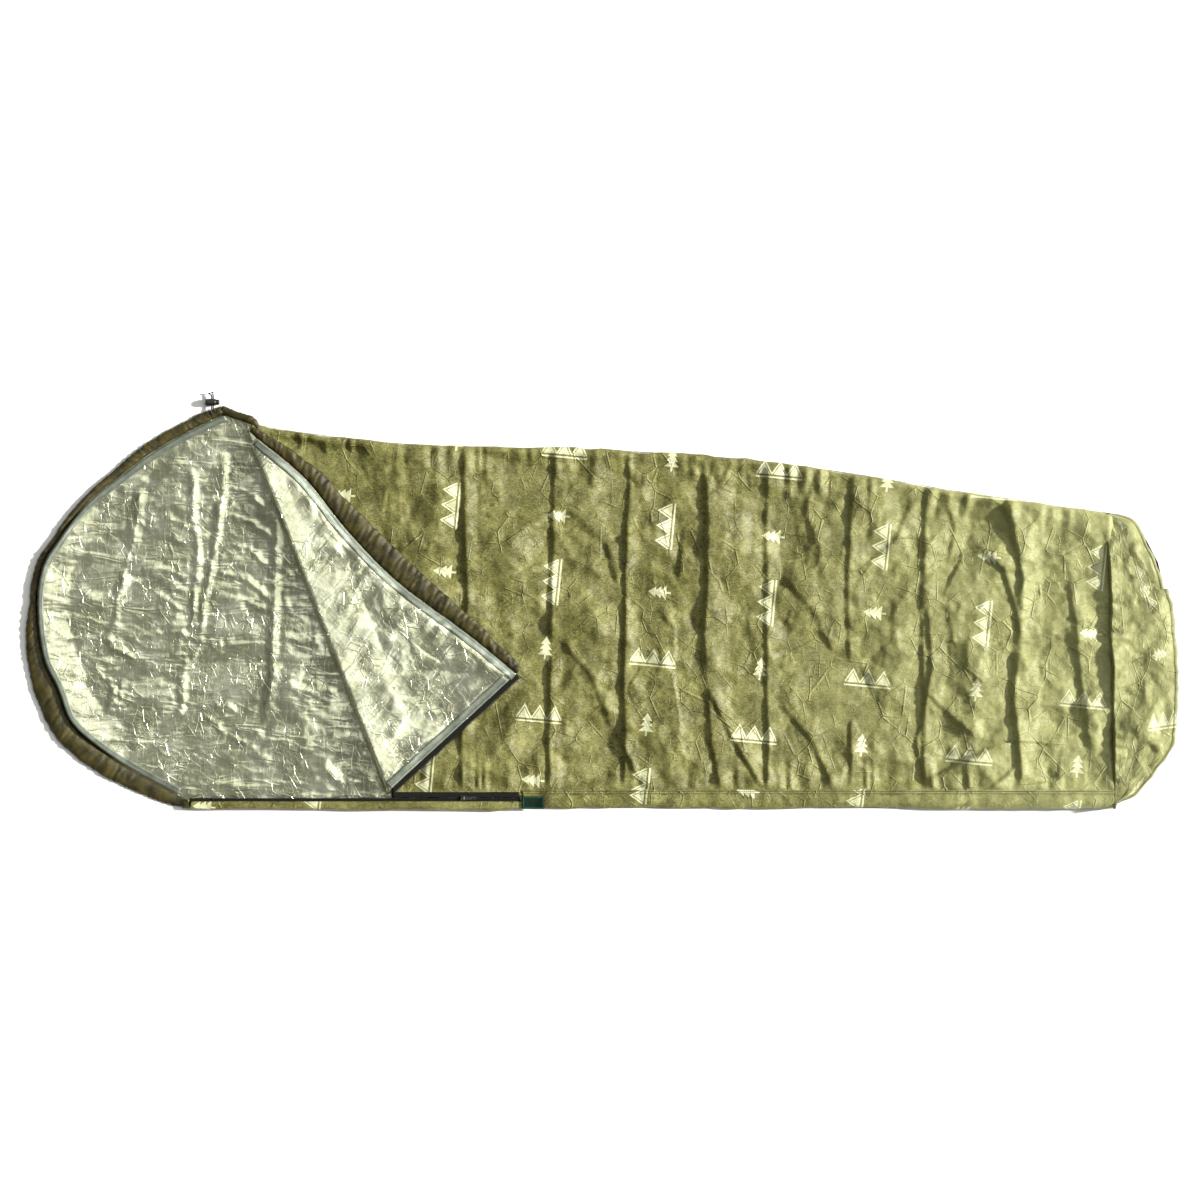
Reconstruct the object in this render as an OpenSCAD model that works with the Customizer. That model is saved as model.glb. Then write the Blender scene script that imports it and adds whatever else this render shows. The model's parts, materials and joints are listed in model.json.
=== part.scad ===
// Mummy-shaped emergency bivy sack laid out flat, with its face flap folded open.
// Frame: +X runs from the hood to the foot, +Y is the folded long side away from the
// zip, +Z is up. The sack rests on z = 0, with the origin under the middle of its plan.
// The laminate is really about 0.2 mm thick. Its panels are drawn fabric_t thick.

/* [Sack] */
// Drawn thickness of each laminate panel
fabric_t = 2; // [1.5:0.1:2.2]
// Height of the front panel's outer face above the ground
front_z = 16; // [14:0.5:20]
// Gap between the front panel and the flap that lies on it
flap_gap = 0.5; // [0.4:0.1:1.5]
// Rise of the front panel from the hips to the foot
foot_rise = 20; // [5:1:22]
// Height of the boxed foot
foot_h = 60; // [45:1:80]
// Y of the near edge of the sack, where the zip and the side seam run
near_y = -380; // [-390:1:-378]

/* [Drawcord channel] */
// Height of the hood's drawcord channel
channel_h = 6; // [5:0.5:7]
// Height of the flap's drawcord channel
flap_channel_h = 5; // [4.5:0.5:5.5]
// Widest part of the flap's drawcord channel
flap_channel_w = 42; // [25:1:48]
// Drawcord diameter
cord_d = 2.4; // [1.5:0.1:2.4]

/* [Tapes and seams] */
// Width of the tape inside the hood seam
hood_tape_w = 13; // [8:1:18]
// Width of the tape on the flap's head edge and zip edge
flap_tape_w = 16; // [8:1:20]
// Thickness of the sewn tapes
tape_t = 1; // [0.5:0.1:1.2]

/* [Zip] */
// Y of the line between the two rows of coil
zip_y = -360; // [-362:0.5:-358]
// Width of one row of coil
coil_w = 2.2; // [1.5:0.1:2.4]
// Height of one row of coil
coil_h = 2.4; // [1.8:0.1:2.6]
// Gap left between the rows for the slider's divider
coil_gap = 2; // [1.6:0.1:2.4]
// Length of the slider
slider_l = 11; // [8:0.5:14]
// Width of the slider
slider_w = 9; // [8.6:0.2:11]
// Length of the pull tab
pull_l = 24; // [14:1:32]

/* [Cord lock] */
// Outside radius of the barrel
lock_r = 6.5; // [6.2:0.1:8]
// Radius of the plunger
plunger_r = 5.1; // [4.6:0.05:5.2]
// Travel of the plunger
plunger_travel = 3; // [1:0.5:3]

/* [Label] */
// Length of the blank label at the closed end of the zip
label_l = 40; // [20:1:50]
// Width of the label
label_w = 23; // [12:1:24]

/* [Hidden] */

shell = "#8d9150";
shell_light = "#a5a868";
silver = "#a9ad98";
nylon = "#4a4418";
tape_grey = "#8f948c";
black = "#15150f";
dark_green = "#16402c";

steps = 5;               // points on each stretch between two spline points
round_fn = 32;
cord_sides = 8;

// Heights of the layers
front_low = front_z - fabric_t;
hinge_z = front_z + flap_gap / 2;
zip_z = front_z - fabric_t / 2;

// Fold line of the flap: its foot at the zip, and its direction towards the far side
fold_foot = [-393, -355];
fold_top = [-655, 318];
fold_dir = (fold_top - fold_foot) / norm(fold_top - fold_foot);

// Hood seam from the far corner round to the zip: x, y and the channel's width there
hood_line = [
    [-700, 352, 17], [-775, 316, 19], [-830, 284, 18], [-885, 244, 15],
    [-957, 186, 11], [-1010, 117, 11], [-1038, 70, 11], [-1049, 0, 14],
    [-1038, -97, 30], [-1010, -160, 42], [-983, -225, 38], [-915, -283, 36],
    [-850, -322, 32], [-787, -356, 20]
];
// Long fold on the far side, from the flap's corner to the foot
far_line = [
    [-650, 334], [-560, 318], [-375, 297], [-190, 290], [0, 285], [180, 275],
    [310, 262], [460, 242], [645, 211], [830, 183], [945, 167]
];
// Outline of the boxed foot, from the far side round to the near side
foot_line = [
    [945, 167], [988, 156], [1017, 99], [1050, 38], [1067, -68], [1065, -235],
    [1048, -280], [990, -355], [945, -374]
];
// Head edge of the flap when it is closed, from the fold line to its tip
head_line = [
    [-655, 318], [-674, 190], [-667, 75], [-667, -28], [-677, -112],
    [-702, -235], [-718, -348]
];

rise_x = 420;            // the front panel climbs from here
foot_seam_x = 945;
foot_end_x = 1040;
above = 100;             // clears the top of every wall
past_end = 1100;         // clears the ends of the sack
past_side = 400;         // clears the sides of the sack

// Zip
coil_in = coil_gap / 2;
coil_out = coil_in + coil_w;
tape_reach = 12;
panel_edge_y = zip_y + tape_reach;
wall_y = near_y + fabric_t;
back_tape_y = wall_y + fabric_t;
zip_head_x = -718;
zip_end_x = -152;
tape_head_x = -764;
fold_clear = 8;
stop_l = 3;
slider_x = -256;
plate_t = 1.2;
coil_clear = 0.3;
divider_w = 1.4;
pin_r = 0.7;
pin_clear = 0.08;
bridge_r = 1.8;
bridge_w = 2.2;
arm_w = 1.3;
arm_gap = 0.3;
pull_t = 1.2;
pull_z = zip_z + coil_h / 2 + coil_clear + plate_t + bridge_r;

// Cord lock: the point where the cord crosses the plunger's axis
lock_pos = [-722, 373, lock_r + 0.7];
barrel_l = 13;
barrel_open = 6;
barrel_floor = 2;
plunger_back = 5;
button_end = 13;
cord_slot = 6.4;
cord_slot_h = 3.4;
bore_clear = 0.1;
spring_wire = 0.7;
spring_turns = 3;
spring_r = 3.6;
strand = 1.4;            // each strand's distance from the lock's centre plane

tunnel_w = 4;
tunnel_h = 3;
cord_z = channel_h / 2;

// Catmull-Rom curve through the points p, in the dimension of the points
function spline_point(a, b, c, d, t) =
    0.5 * (2 * b + (c - a) * t + (2 * a - 5 * b + 4 * c - d) * t * t
           + (3 * b - a - 3 * c + d) * t * t * t);
function spline(p, n = steps) = [
    for (i = [0 : len(p) - 2])
        let (a = p[max(i - 1, 0)], d = p[min(i + 2, len(p) - 1)])
        for (k = [0 : n - 1]) spline_point(a, p[i], p[i + 1], d, k / n),
    p[len(p) - 1]
];

function flat(p) = [for (q = p) [q[0], q[1]]];
function reversed(p) = [for (i = [len(p) - 1 : -1 : 0]) p[i]];

// Unit normal of the curve p at point i, on the right-hand side of its run
function side(p, i) =
    let (a = p[max(i - 1, 0)], b = p[min(i + 1, len(p) - 1)],
         t = [b[0] - a[0], b[1] - a[1]])
    [t[1], -t[0]] / norm(t);
// The curve p moved sideways by the widths w, one for each point
function beside(p, w) = [for (i = [0 : len(p) - 1]) [p[i][0], p[i][1]] + side(p, i) * w[i]];
function same(p, w) = [for (q = p) w];
// Closed outline between two curves that run the same way
function strip(a, b) = concat(a, reversed(b));

hood_curve = spline(hood_line);
hood_seam = flat(hood_curve);
hood_widths = [for (q = hood_curve) q[2]];
hood_outer = beside(hood_seam, hood_widths);
hood_inner = beside(hood_seam, same(hood_seam, -hood_tape_w));
hood_mid = beside(hood_seam, hood_widths / 2);
far_curve = spline(far_line);
foot_curve = spline(foot_line, 3);
head_curve = spline(head_line);
last_head = len(head_curve) - 1;

// Width of the flap's channel along the head edge, narrow at both ends
flap_channel_end_w = 13;
flap_widths = [
    for (i = [0 : last_head])
        flap_channel_end_w + (flap_channel_w - flap_channel_end_w) * sin(180 * i / last_head)
];
head_outer = beside(head_curve, flap_widths);
head_mid = beside(head_curve, flap_widths / 2);

// A tube of radius r swept along the 3-D points p
function unit(v) = v / norm(v);
function along(p, i) = unit(p[min(i + 1, len(p) - 1)] - p[max(i - 1, 0)]);
function ring(p, i, r) =
    let (t = along(p, i), u = unit(cross(t, [0, 0, 1])), v = cross(u, t))
    [for (k = [0 : cord_sides - 1])
        p[i] + r * (u * cos(360 * k / cord_sides) + v * sin(360 * k / cord_sides))];
module tube(p, r) {
    n = cord_sides;
    last = len(p) - 1;
    points = [for (i = [0 : last]) each ring(p, i, r)];
    walls = [
        for (i = [0 : last - 1], k = [0 : n - 1])
            let (a = i * n + k, b = i * n + (k + 1) % n)
            each [[a, b, b + n], [a, b + n, a + n]]
    ];
    caps = [[for (k = [n - 1 : -1 : 0]) k], [for (k = [0 : n - 1]) last * n + k]];
    polyhedron(points, concat(walls, caps));
}

module slab(outline, low, high) {
    translate([0, 0, low]) linear_extrude(high - low) polygon(outline);
}

module box(low, high) {
    translate(low) cube(high - low);
}

// Turns flap pieces from the closed position, in which they are drawn, to the open one
module opened() {
    translate([fold_foot[0], fold_foot[1], hinge_z])
        rotate(a = 180, v = [fold_dir[0], fold_dir[1], 0])
            translate([-fold_foot[0], -fold_foot[1], -hinge_z]) children();
}

// Layer between two offsets from the front panel's outer face
module panel_layer(low, high) {
    face = [[-past_end, 0], [rise_x, 0], [foot_seam_x, foot_rise]];
    translate([0, past_side, front_z]) rotate([90, 0, 0]) linear_extrude(2 * past_side)
        polygon(strip([for (p = face) p + [0, low]], [for (p = face) p + [0, high]]));
}

// X of the fold line at a given y
function fold_x(y) = fold_foot[0] + (y - fold_foot[1]) * fold_dir[0] / fold_dir[1];

// ---- Sack ----

module back_panel() {
    near_corner = [[-775, near_y + 2]];
    outline = concat(
        [[945, near_y]], near_corner, reversed(hood_seam), far_curve,
        [for (i = [1 : len(foot_curve) - 2]) foot_curve[i]]);
    color(silver) slab(outline, 0, fabric_t);
}

module front_panel() {
    left = fold_clear / 4;
    zip_stretch = zip_end_x + stop_l;
    outline = concat(
        [[fold_x(panel_edge_y) + left, panel_edge_y], fold_top + [left, 0]],
        far_curve,
        [[foot_seam_x, near_y + 4], [zip_stretch, near_y], [zip_stretch, panel_edge_y]]);
    color(shell) intersection() {
        slab(outline, 0, above);
        panel_layer(-fabric_t, 0);
    }
}

module far_side_fold() {
    inner = beside(far_curve, same(far_curve, fabric_t));
    color(shell) intersection() {
        slab(strip(far_curve, inner), fabric_t, above);
        panel_layer(-front_z, -fabric_t);
    }
}

module near_side_wall() {
    zip_stretch = zip_end_x + stop_l;
    color(shell) {
        box([tape_head_x, near_y, fabric_t], [zip_stretch, wall_y, zip_z + tape_t / 2]);
        intersection() {
            box([zip_stretch, near_y, fabric_t], [foot_seam_x, wall_y, above]);
            panel_layer(-front_z, -fabric_t);
        }
    }
}

module side_seam() {
    seam_w = 6;
    seam_h = 1.5;
    seam_y = near_y + 22;
    color(shell) intersection() {
        box([zip_end_x + stop_l + label_l + 4, seam_y, 0], [foot_seam_x - 8, seam_y + seam_w, above]);
        panel_layer(0, seam_h);
    }
}

// Outline of the foot drawn in by a distance from its curved edge
function foot_ring(inset) = beside(foot_curve, same(foot_curve, inset));

module foot_shell(x0, x1) {
    intersection() {
        difference() {
            slab(foot_ring(0), fabric_t, foot_h);
            slab(concat([[foot_seam_x - 1, 160]], foot_ring(fabric_t), [[foot_seam_x - 1, near_y + 10]]),
                 fabric_t - 1, foot_h - fabric_t);
        }
        box([x0, near_y, 0], [x1, -near_y, foot_h]);
    }
}

module foot_gusset() {
    color(shell_light) foot_shell(foot_seam_x, foot_end_x);
}

module foot_end_panel() {
    color(shell_light) foot_shell(foot_end_x, foot_end_x + 40);
}

module foot_front_seam() {
    seam_x = foot_seam_x - fabric_t;
    color(shell_light) box([seam_x, near_y + 8, front_z + foot_rise], [foot_seam_x, 164, foot_h]);
}

module foot_end_seam() {
    seam_w = 6;
    color(shell) box([foot_end_x - seam_w, -280, foot_h], [foot_end_x, 40, foot_h + 1]);
}

// ---- Hood and drawcord channel ----

module channel(inner, outer, mid, low, high, bore_z) {
    tunnel = strip(beside(mid, same(mid, tunnel_w / 2)), beside(mid, same(mid, -tunnel_w / 2)));
    difference() {
        slab(strip(inner, outer), low, high);
        slab(tunnel, bore_z - tunnel_h / 2, bore_z + tunnel_h / 2);
    }
}

exits = [[-726, 350.5], [-716, 355.3]];
exit_r = 3.8;

module exit_holes(low, high) {
    for (p = exits) translate([p[0], p[1], low]) cylinder(h = high - low, r = exit_r, $fn = round_fn);
}

module hood_channel() {
    color(nylon) difference() {
        channel(hood_seam, hood_outer, hood_mid, 0, channel_h, cord_z);
        exit_holes(cord_z, channel_h + 1);
    }
}

// Channel that climbs from the hood to the top of the fold line
corner_start = [-700, 352];
corner_end = [-652, 336];
corner_l = norm(corner_end - corner_start);
corner_w = 14;
corner_rise = front_z - channel_h - 2;
module far_corner_channel() {
    turn = atan2(corner_end[1] - corner_start[1], corner_end[0] - corner_start[0]);
    color(nylon) translate([corner_start[0], corner_start[1], 0]) rotate([0, 0, turn]) difference() {
        translate([0, corner_w, 0]) rotate([90, 0, 0]) linear_extrude(corner_w)
            polygon([[0, 0], [corner_l, 0], [corner_l, channel_h + corner_rise], [0, channel_h]]);
        translate([0, (corner_w + tunnel_w) / 2, 0]) rotate([90, 0, 0]) linear_extrude(tunnel_w)
            polygon([
                [-1, cord_z - tunnel_h / 2], [corner_l + 1, cord_z + corner_rise - tunnel_h / 2],
                [corner_l + 1, cord_z + corner_rise + tunnel_h / 2], [-1, cord_z + tunnel_h / 2]]);
    }
}

module hood_seam_tape() {
    color(tape_grey) slab(strip(hood_seam, hood_inner), fabric_t, fabric_t + tape_t);
}

module hood_end_tack() {
    color(black) box([-792, -372, channel_h], [-780, -368, channel_h + 1]);
}

module hood_crown_tack() {
    color(black) box([-1043, 78, channel_h], [-1038, 82, channel_h + 1.5]);
}

// ---- Zip ----

module coil(x0, x1, dir) {
    rows = [zip_y + dir * coil_in, zip_y + dir * coil_out];
    box([x0, min(rows), zip_z - coil_h / 2], [x1, max(rows), zip_z + coil_h / 2]);
}

module zip_tape(x0, x1, y0, y1) {
    box([x0, y0, zip_z - tape_t / 2], [x1, y1, zip_z + tape_t / 2]);
}

module top_stop(dir) {
    rows = [zip_y + dir * coil_in, zip_y + dir * coil_out];
    box([zip_head_x - stop_l, min(rows), zip_z - coil_h / 2],
        [zip_head_x, max(rows), zip_z + coil_h / 2]);
}

module zip_tape_back() {
    color(black) zip_tape(tape_head_x, zip_end_x, wall_y, zip_y - coil_out);
}

module zip_coil_back() {
    color(black) coil(zip_head_x, zip_end_x, -1);
}

module zip_tape_front() {
    color(black) zip_tape(fold_foot[0] + fold_clear / 2, zip_end_x, zip_y + coil_out, panel_edge_y);
}

module zip_coil_front() {
    color(black) coil(fold_foot[0] + fold_clear, zip_end_x, 1);
}

module zip_top_stop_back() {
    color("silver") top_stop(-1);
}

module zip_bottom_stop() {
    h = coil_h / 2 + 0.6;
    color("silver") box([zip_end_x, zip_y - coil_out, zip_z - h], [zip_end_x + stop_l, zip_y + coil_out, zip_z + h]);
}

module label_tab() {
    x0 = zip_end_x + stop_l + 2;
    color(dark_green) box([x0, near_y, front_z], [x0 + label_l, near_y + label_w, front_z + 0.8]);
}

// ---- Drawcord ----

// The tunnel's middle from the near end of the hood towards the exit hole
hood_cord_line = [for (i = [len(hood_mid) - 2 : -1 : 3]) [hood_mid[i][0], hood_mid[i][1], cord_z]];
// Each strand climbs out of its hole and passes through the lock to its knotted end
hood_tail = [
    [-729, 349, 3.1], [-726.6, 350.3, 4.6], [-725.2, 351.6, 6.6], [-724.3, 354.5, 8.1],
    [-723.6, 359, 7.9], [-723.4, 364, 7.2], [-723.4, 384, 7.2], [-726, 387.5, 6]
];
corner_cord_line = [[-651, 343, 10.8], [-697, 358.3, 3.1], [-704, 359.4, 3], [-712, 356, 3.1]];
corner_tail = [
    [-714.6, 355.2, 4.4], [-716.2, 355.6, 6.4], [-718, 358.4, 8.1], [-720, 361.5, 7.8],
    [-720.6, 366, 7.2], [-720.6, 384, 7.2], [-721.5, 388.5, 8.5]
];

module drawcord_hood() {
    color(black) tube(concat(hood_cord_line, hood_tail), cord_d / 2);
}

module drawcord_corner() {
    color(black) tube(concat(corner_cord_line, corner_tail), cord_d / 2);
}

module cord_knots() {
    knot_r = 2.6;
    color(black) {
        translate([-727.6, 389.4, 5.4]) sphere(knot_r, $fn = round_fn);
        translate([-721.9, 390.6, 9.2]) sphere(knot_r, $fn = round_fn);
    }
}

module cord_exit_patch() {
    patch_t = 0.8;
    turn = atan2(exits[1][1] - exits[0][1], exits[1][0] - exits[0][0]);
    color(tape_grey) difference() {
        translate([(exits[0][0] + exits[1][0]) / 2, (exits[0][1] + exits[1][1]) / 2, channel_h])
            rotate([0, 0, turn]) box([-11, -5.5, 0], [11, 5.5, patch_t]);
        exit_holes(channel_h - 1, channel_h + patch_t + 1);
    }
}

// ---- Flap, drawn closed ----

module front_flap() {
    outline = concat(
        [[fold_x(panel_edge_y) - fold_clear / 4, panel_edge_y]],
        [fold_top - [fold_clear / 4, 0]],
        [for (i = [1 : last_head]) head_curve[i]]);
    color(silver) opened() slab(outline, front_low, front_z);
}

module flap_channel() {
    from = 2;
    inner = [for (i = [from : last_head]) head_curve[i]];
    outer = [for (i = [from : last_head]) head_outer[i]];
    mid = [for (i = [from : last_head]) head_mid[i]];
    color(nylon) opened()
        channel(inner, outer, mid, front_z - flap_channel_h, front_z, front_z - flap_channel_h / 2);
}

module head_tape_drawn() {
    inner = beside(head_curve, same(head_curve, -flap_tape_w));
    points = [for (i = [1 : last_head]) head_curve[i]];
    backs = [for (i = [1 : last_head]) inner[i]];
    slab(strip(points, backs), front_low - tape_t, front_low);
}

module flap_head_tape() {
    color(tape_grey) opened() head_tape_drawn();
}

module flap_zip_binding() {
    x0 = zip_head_x + flap_tape_w;
    x1 = fold_foot[0] - fold_clear;
    color(tape_grey) opened() difference() {
        box([x0, panel_edge_y, front_low - tape_t], [x1, panel_edge_y + flap_tape_w, front_low]);
        head_tape_drawn();
    }
}

module zip_tape_flap() {
    color(black) opened()
        zip_tape(zip_head_x, fold_foot[0] - fold_clear, zip_y + coil_out, panel_edge_y);
}

module zip_coil_flap() {
    color(black) opened() coil(zip_head_x, fold_foot[0] - fold_clear, 1);
}

module zip_top_stop_flap() {
    color("silver") opened() top_stop(1);
}

module drawcord_flap() {
    z = front_z - flap_channel_h / 2;
    points = [for (i = [3 : last_head - 1]) [head_mid[i][0], head_mid[i][1], z]];
    color(black) opened() tube(points, cord_d / 2);
}

module flap_end_tack() {
    low = front_z - flap_channel_h - 1;
    color(black) opened() box([-730, -340, low], [-722, -336, low + 1]);
}

// ---- Slider and pull ----

module zip_slider() {
    inside = coil_h / 2 + coil_clear;
    slot = tape_t / 2 + coil_clear;
    half = slider_w / 2;
    flange = half - coil_out - coil_clear;
    color("silver") translate([slider_x, zip_y, zip_z]) {
        difference() {
            box([-slider_l / 2, -half, -inside - plate_t], [slider_l / 2, half, inside + plate_t]);
            box([-slider_l, -half + flange, -inside], [slider_l, half - flange, inside]);
            box([-slider_l, -half - 1, -slot], [slider_l, half + 1, slot]);
        }
        box([-slider_l / 2 + 0.5, -divider_w / 2, -inside], [-slider_l / 2 + 4.5, divider_w / 2, inside]);
        difference() {
            union() {
                translate([0, bridge_w / 2, pull_z - zip_z]) rotate([90, 0, 0])
                    cylinder(h = bridge_w, r = bridge_r, $fn = round_fn);
                box([-bridge_r, -bridge_w / 2, inside], [bridge_r, bridge_w / 2, pull_z - zip_z]);
            }
            translate([0, bridge_w, pull_z - zip_z]) rotate([90, 0, 0])
                cylinder(h = 2 * bridge_w, r = pin_r + pin_clear, $fn = round_fn);
        }
    }
}

module zip_pull() {
    arm_y = bridge_w / 2 + arm_gap;
    eye_r = bridge_r - 0.4;
    arm_end = bridge_r + 3;
    color("silver") translate([slider_x, zip_y, pull_z]) {
        rotate([90, 0, 0]) cylinder(h = 2 * arm_y + 0.4, r = pin_r, center = true, $fn = round_fn);
        for (dir = [-1, 1]) {
            y0 = min(dir * arm_y, dir * (arm_y + arm_w));
            translate([0, y0 + arm_w, 0]) rotate([90, 0, 0]) cylinder(h = arm_w, r = eye_r, $fn = round_fn);
            box([0, y0, -pull_t / 2], [arm_end, y0 + arm_w, pull_t / 2]);
        }
        difference() {
            union() {
                box([arm_end - 1.5, -arm_y - arm_w, -pull_t / 2], [pull_l - 3, arm_y + arm_w, pull_t / 2]);
                translate([pull_l - 3, 0, 0]) cylinder(h = pull_t, r = 3, center = true, $fn = round_fn);
            }
            translate([pull_l - 3.4, 0, 0]) cylinder(h = 2 * pull_t, r = 1.2, center = true, $fn = round_fn);
        }
    }
}

// ---- Cord lock ----

// Everything in the lock turns about its own X axis
module lock_frame() {
    translate(lock_pos) rotate([0, 90, 0]) children();
}

module cord_passage(x0, x1) {
    translate(lock_pos) box([x0, -2 * lock_r, -cord_slot_h / 2], [x1, 2 * lock_r, cord_slot_h / 2]);
}

module cord_lock_barrel() {
    color(black) difference() {
        lock_frame() rotate_extrude($fn = 48) polygon([
            [0, -barrel_l], [lock_r - 1.5, -barrel_l], [lock_r - 0.4, -barrel_l + 0.6],
            [lock_r, -barrel_l + 2], [lock_r, barrel_open - 0.8], [lock_r - 0.6, barrel_open],
            [plunger_r + bore_clear, barrel_open], [plunger_r + bore_clear, barrel_floor - barrel_l],
            [0, barrel_floor - barrel_l]]);
        cord_passage(-cord_slot / 2, cord_slot / 2);
    }
}

module cord_lock_plunger() {
    color(black) difference() {
        lock_frame() rotate_extrude($fn = 48) polygon([
            [0, -plunger_back], [plunger_r, -plunger_back], [plunger_r, button_end - 2],
            [plunger_r - 0.6, button_end - 0.7], [plunger_r - 2, button_end], [0, button_end]]);
        cord_passage(-cord_slot / 2, cord_slot / 2 + plunger_travel);
    }
}

module cord_lock_spring() {
    x0 = barrel_floor - barrel_l + spring_wire / 2 + 0.05;
    x1 = -plunger_back - spring_wire / 2 - 0.05;
    turn_steps = 12;
    n = spring_turns * turn_steps;
    points = [
        for (i = [0 : n])
            let (a = 360 * i / turn_steps)
            [x0 + (x1 - x0) * i / n, spring_r * cos(a), spring_r * sin(a)]
    ];
    color("silver") translate(lock_pos) coil_wire(points, spring_wire / 2);
}

// A wire along a helix about X, whose rings stand in the planes through that axis
module coil_wire(p, r) {
    n = cord_sides;
    last = len(p) - 1;
    points = [
        for (i = [0 : last])
            let (out = unit([0, p[i][1], p[i][2]]))
            each [for (k = [0 : n - 1]) p[i] + r * (out * cos(360 * k / n) + [sin(360 * k / n), 0, 0])]
    ];
    walls = [
        for (i = [0 : last - 1], k = [0 : n - 1])
            let (a = i * n + k, b = i * n + (k + 1) % n)
            each [[a, b, b + n], [a, b + n, a + n]]
    ];
    caps = [[for (k = [n - 1 : -1 : 0]) k], [for (k = [0 : n - 1]) last * n + k]];
    polyhedron(points, concat(walls, caps));
}

back_panel();
front_panel();
far_side_fold();
near_side_wall();
side_seam();
foot_gusset();
foot_end_panel();
foot_front_seam();
foot_end_seam();
hood_channel();
far_corner_channel();
hood_seam_tape();
hood_end_tack();
hood_crown_tack();
zip_tape_back();
zip_coil_back();
zip_tape_front();
zip_coil_front();
zip_top_stop_back();
zip_bottom_stop();
label_tab();
drawcord_hood();
drawcord_corner();
cord_knots();
cord_exit_patch();
front_flap();
flap_channel();
flap_head_tape();
flap_zip_binding();
zip_tape_flap();
zip_coil_flap();
zip_top_stop_flap();
drawcord_flap();
flap_end_tack();
zip_slider();
zip_pull();
cord_lock_barrel();
cord_lock_spring();
cord_lock_plunger();
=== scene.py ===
import json
import math

import bpy
import numpy as np
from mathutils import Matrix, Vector
from mathutils.bvhtree import BVHTree


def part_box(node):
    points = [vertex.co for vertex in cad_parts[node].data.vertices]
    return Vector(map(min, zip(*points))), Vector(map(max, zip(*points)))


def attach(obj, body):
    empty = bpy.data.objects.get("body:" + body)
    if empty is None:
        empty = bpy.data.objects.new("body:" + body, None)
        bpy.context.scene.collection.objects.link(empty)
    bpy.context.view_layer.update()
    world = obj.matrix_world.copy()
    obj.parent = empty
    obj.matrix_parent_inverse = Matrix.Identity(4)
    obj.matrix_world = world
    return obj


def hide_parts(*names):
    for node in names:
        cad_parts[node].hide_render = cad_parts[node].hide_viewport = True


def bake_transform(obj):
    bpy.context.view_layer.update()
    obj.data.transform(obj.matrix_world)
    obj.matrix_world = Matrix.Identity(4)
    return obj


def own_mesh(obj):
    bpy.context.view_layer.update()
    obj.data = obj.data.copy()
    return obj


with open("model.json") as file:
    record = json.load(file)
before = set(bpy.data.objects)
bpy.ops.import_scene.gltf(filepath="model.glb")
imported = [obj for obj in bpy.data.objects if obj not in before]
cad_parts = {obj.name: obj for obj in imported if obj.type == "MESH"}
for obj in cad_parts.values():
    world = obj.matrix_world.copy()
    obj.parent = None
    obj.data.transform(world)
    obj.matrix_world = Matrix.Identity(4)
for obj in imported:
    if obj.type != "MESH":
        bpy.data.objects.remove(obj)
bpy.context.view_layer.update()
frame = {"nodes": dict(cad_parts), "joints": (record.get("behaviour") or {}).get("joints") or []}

MM = 0.001


# ---------------------------------------------------------------- camera and light

def srgb(text):
    """Linear colour from a hex colour."""
    parts = [int(text[k:k + 2], 16) / 255 for k in (1, 3, 5)]
    return [c / 12.92 if c < 0.04045 else ((c + 0.055) / 1.055) ** 2.4 for c in parts] + [1.0]


def make_camera():
    """Long lens straight above the sack, with the foot to the right."""
    height = 8.0
    view_width = 2.226
    data = bpy.data.cameras.new("camera")
    data.sensor_width = 36.0
    data.lens = data.sensor_width * height / view_width
    data.clip_start = 0.1
    data.clip_end = 100.0
    camera = bpy.data.objects.new("camera", data)
    camera.location = (-0.0037, 0.0065, height)
    bpy.context.scene.collection.objects.link(camera)
    bpy.context.scene.camera = camera


def make_lights():
    """Low key light from the foot end, a wide panel over the foot, and a dim room."""
    data = bpy.data.lights.new("key", "SUN")
    data.energy = 8.2
    data.angle = math.radians(4)
    data.color = (1.0, 0.985, 0.95)
    key = bpy.data.objects.new("key", data)
    key.rotation_euler = (0, math.radians(64), math.radians(8))
    bpy.context.scene.collection.objects.link(key)
    bpy.context.scene.view_settings.view_transform = "Standard"

    world = bpy.data.worlds.new("studio")
    bpy.context.scene.world = world
    world.use_nodes = True
    Value.tree = world.node_tree
    nodes, links = world.node_tree.nodes, world.node_tree.links
    coords = nodes.new("ShaderNodeTexCoord")
    split = nodes.new("ShaderNodeSeparateXYZ")
    links.new(coords.outputs["Generated"], split.inputs[0])
    x, y, z = [Value(s) for s in split.outputs]
    room = z.ramp(0.25, 0.75) * 0.09 + 0.07
    panel = (x * 0.84 + y * 0.55).ramp(-0.06, 0.4) * 1.4
    beyond = z.ramp(0.3, 0.75)
    links.new((room + panel * beyond).socket, nodes["Background"].inputs["Strength"])
    nodes["Background"].inputs["Color"].default_value = (1.0, 1.0, 0.97, 1)


def make_floor(mat):
    """Plain pale floor just under the sack."""
    half, low = 6.0, -1 * MM
    corners = [(-half, -half, low), (half, -half, low), (half, half, low), (-half, half, low)]
    mesh = bpy.data.meshes.new("floor")
    mesh.from_pydata(corners, [], [(0, 1, 2, 3)])
    floor = bpy.data.objects.new("floor", mesh)
    mesh.materials.append(mat)
    bpy.context.scene.collection.objects.link(floor)


# ---------------------------------------------------------------- materials

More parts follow.
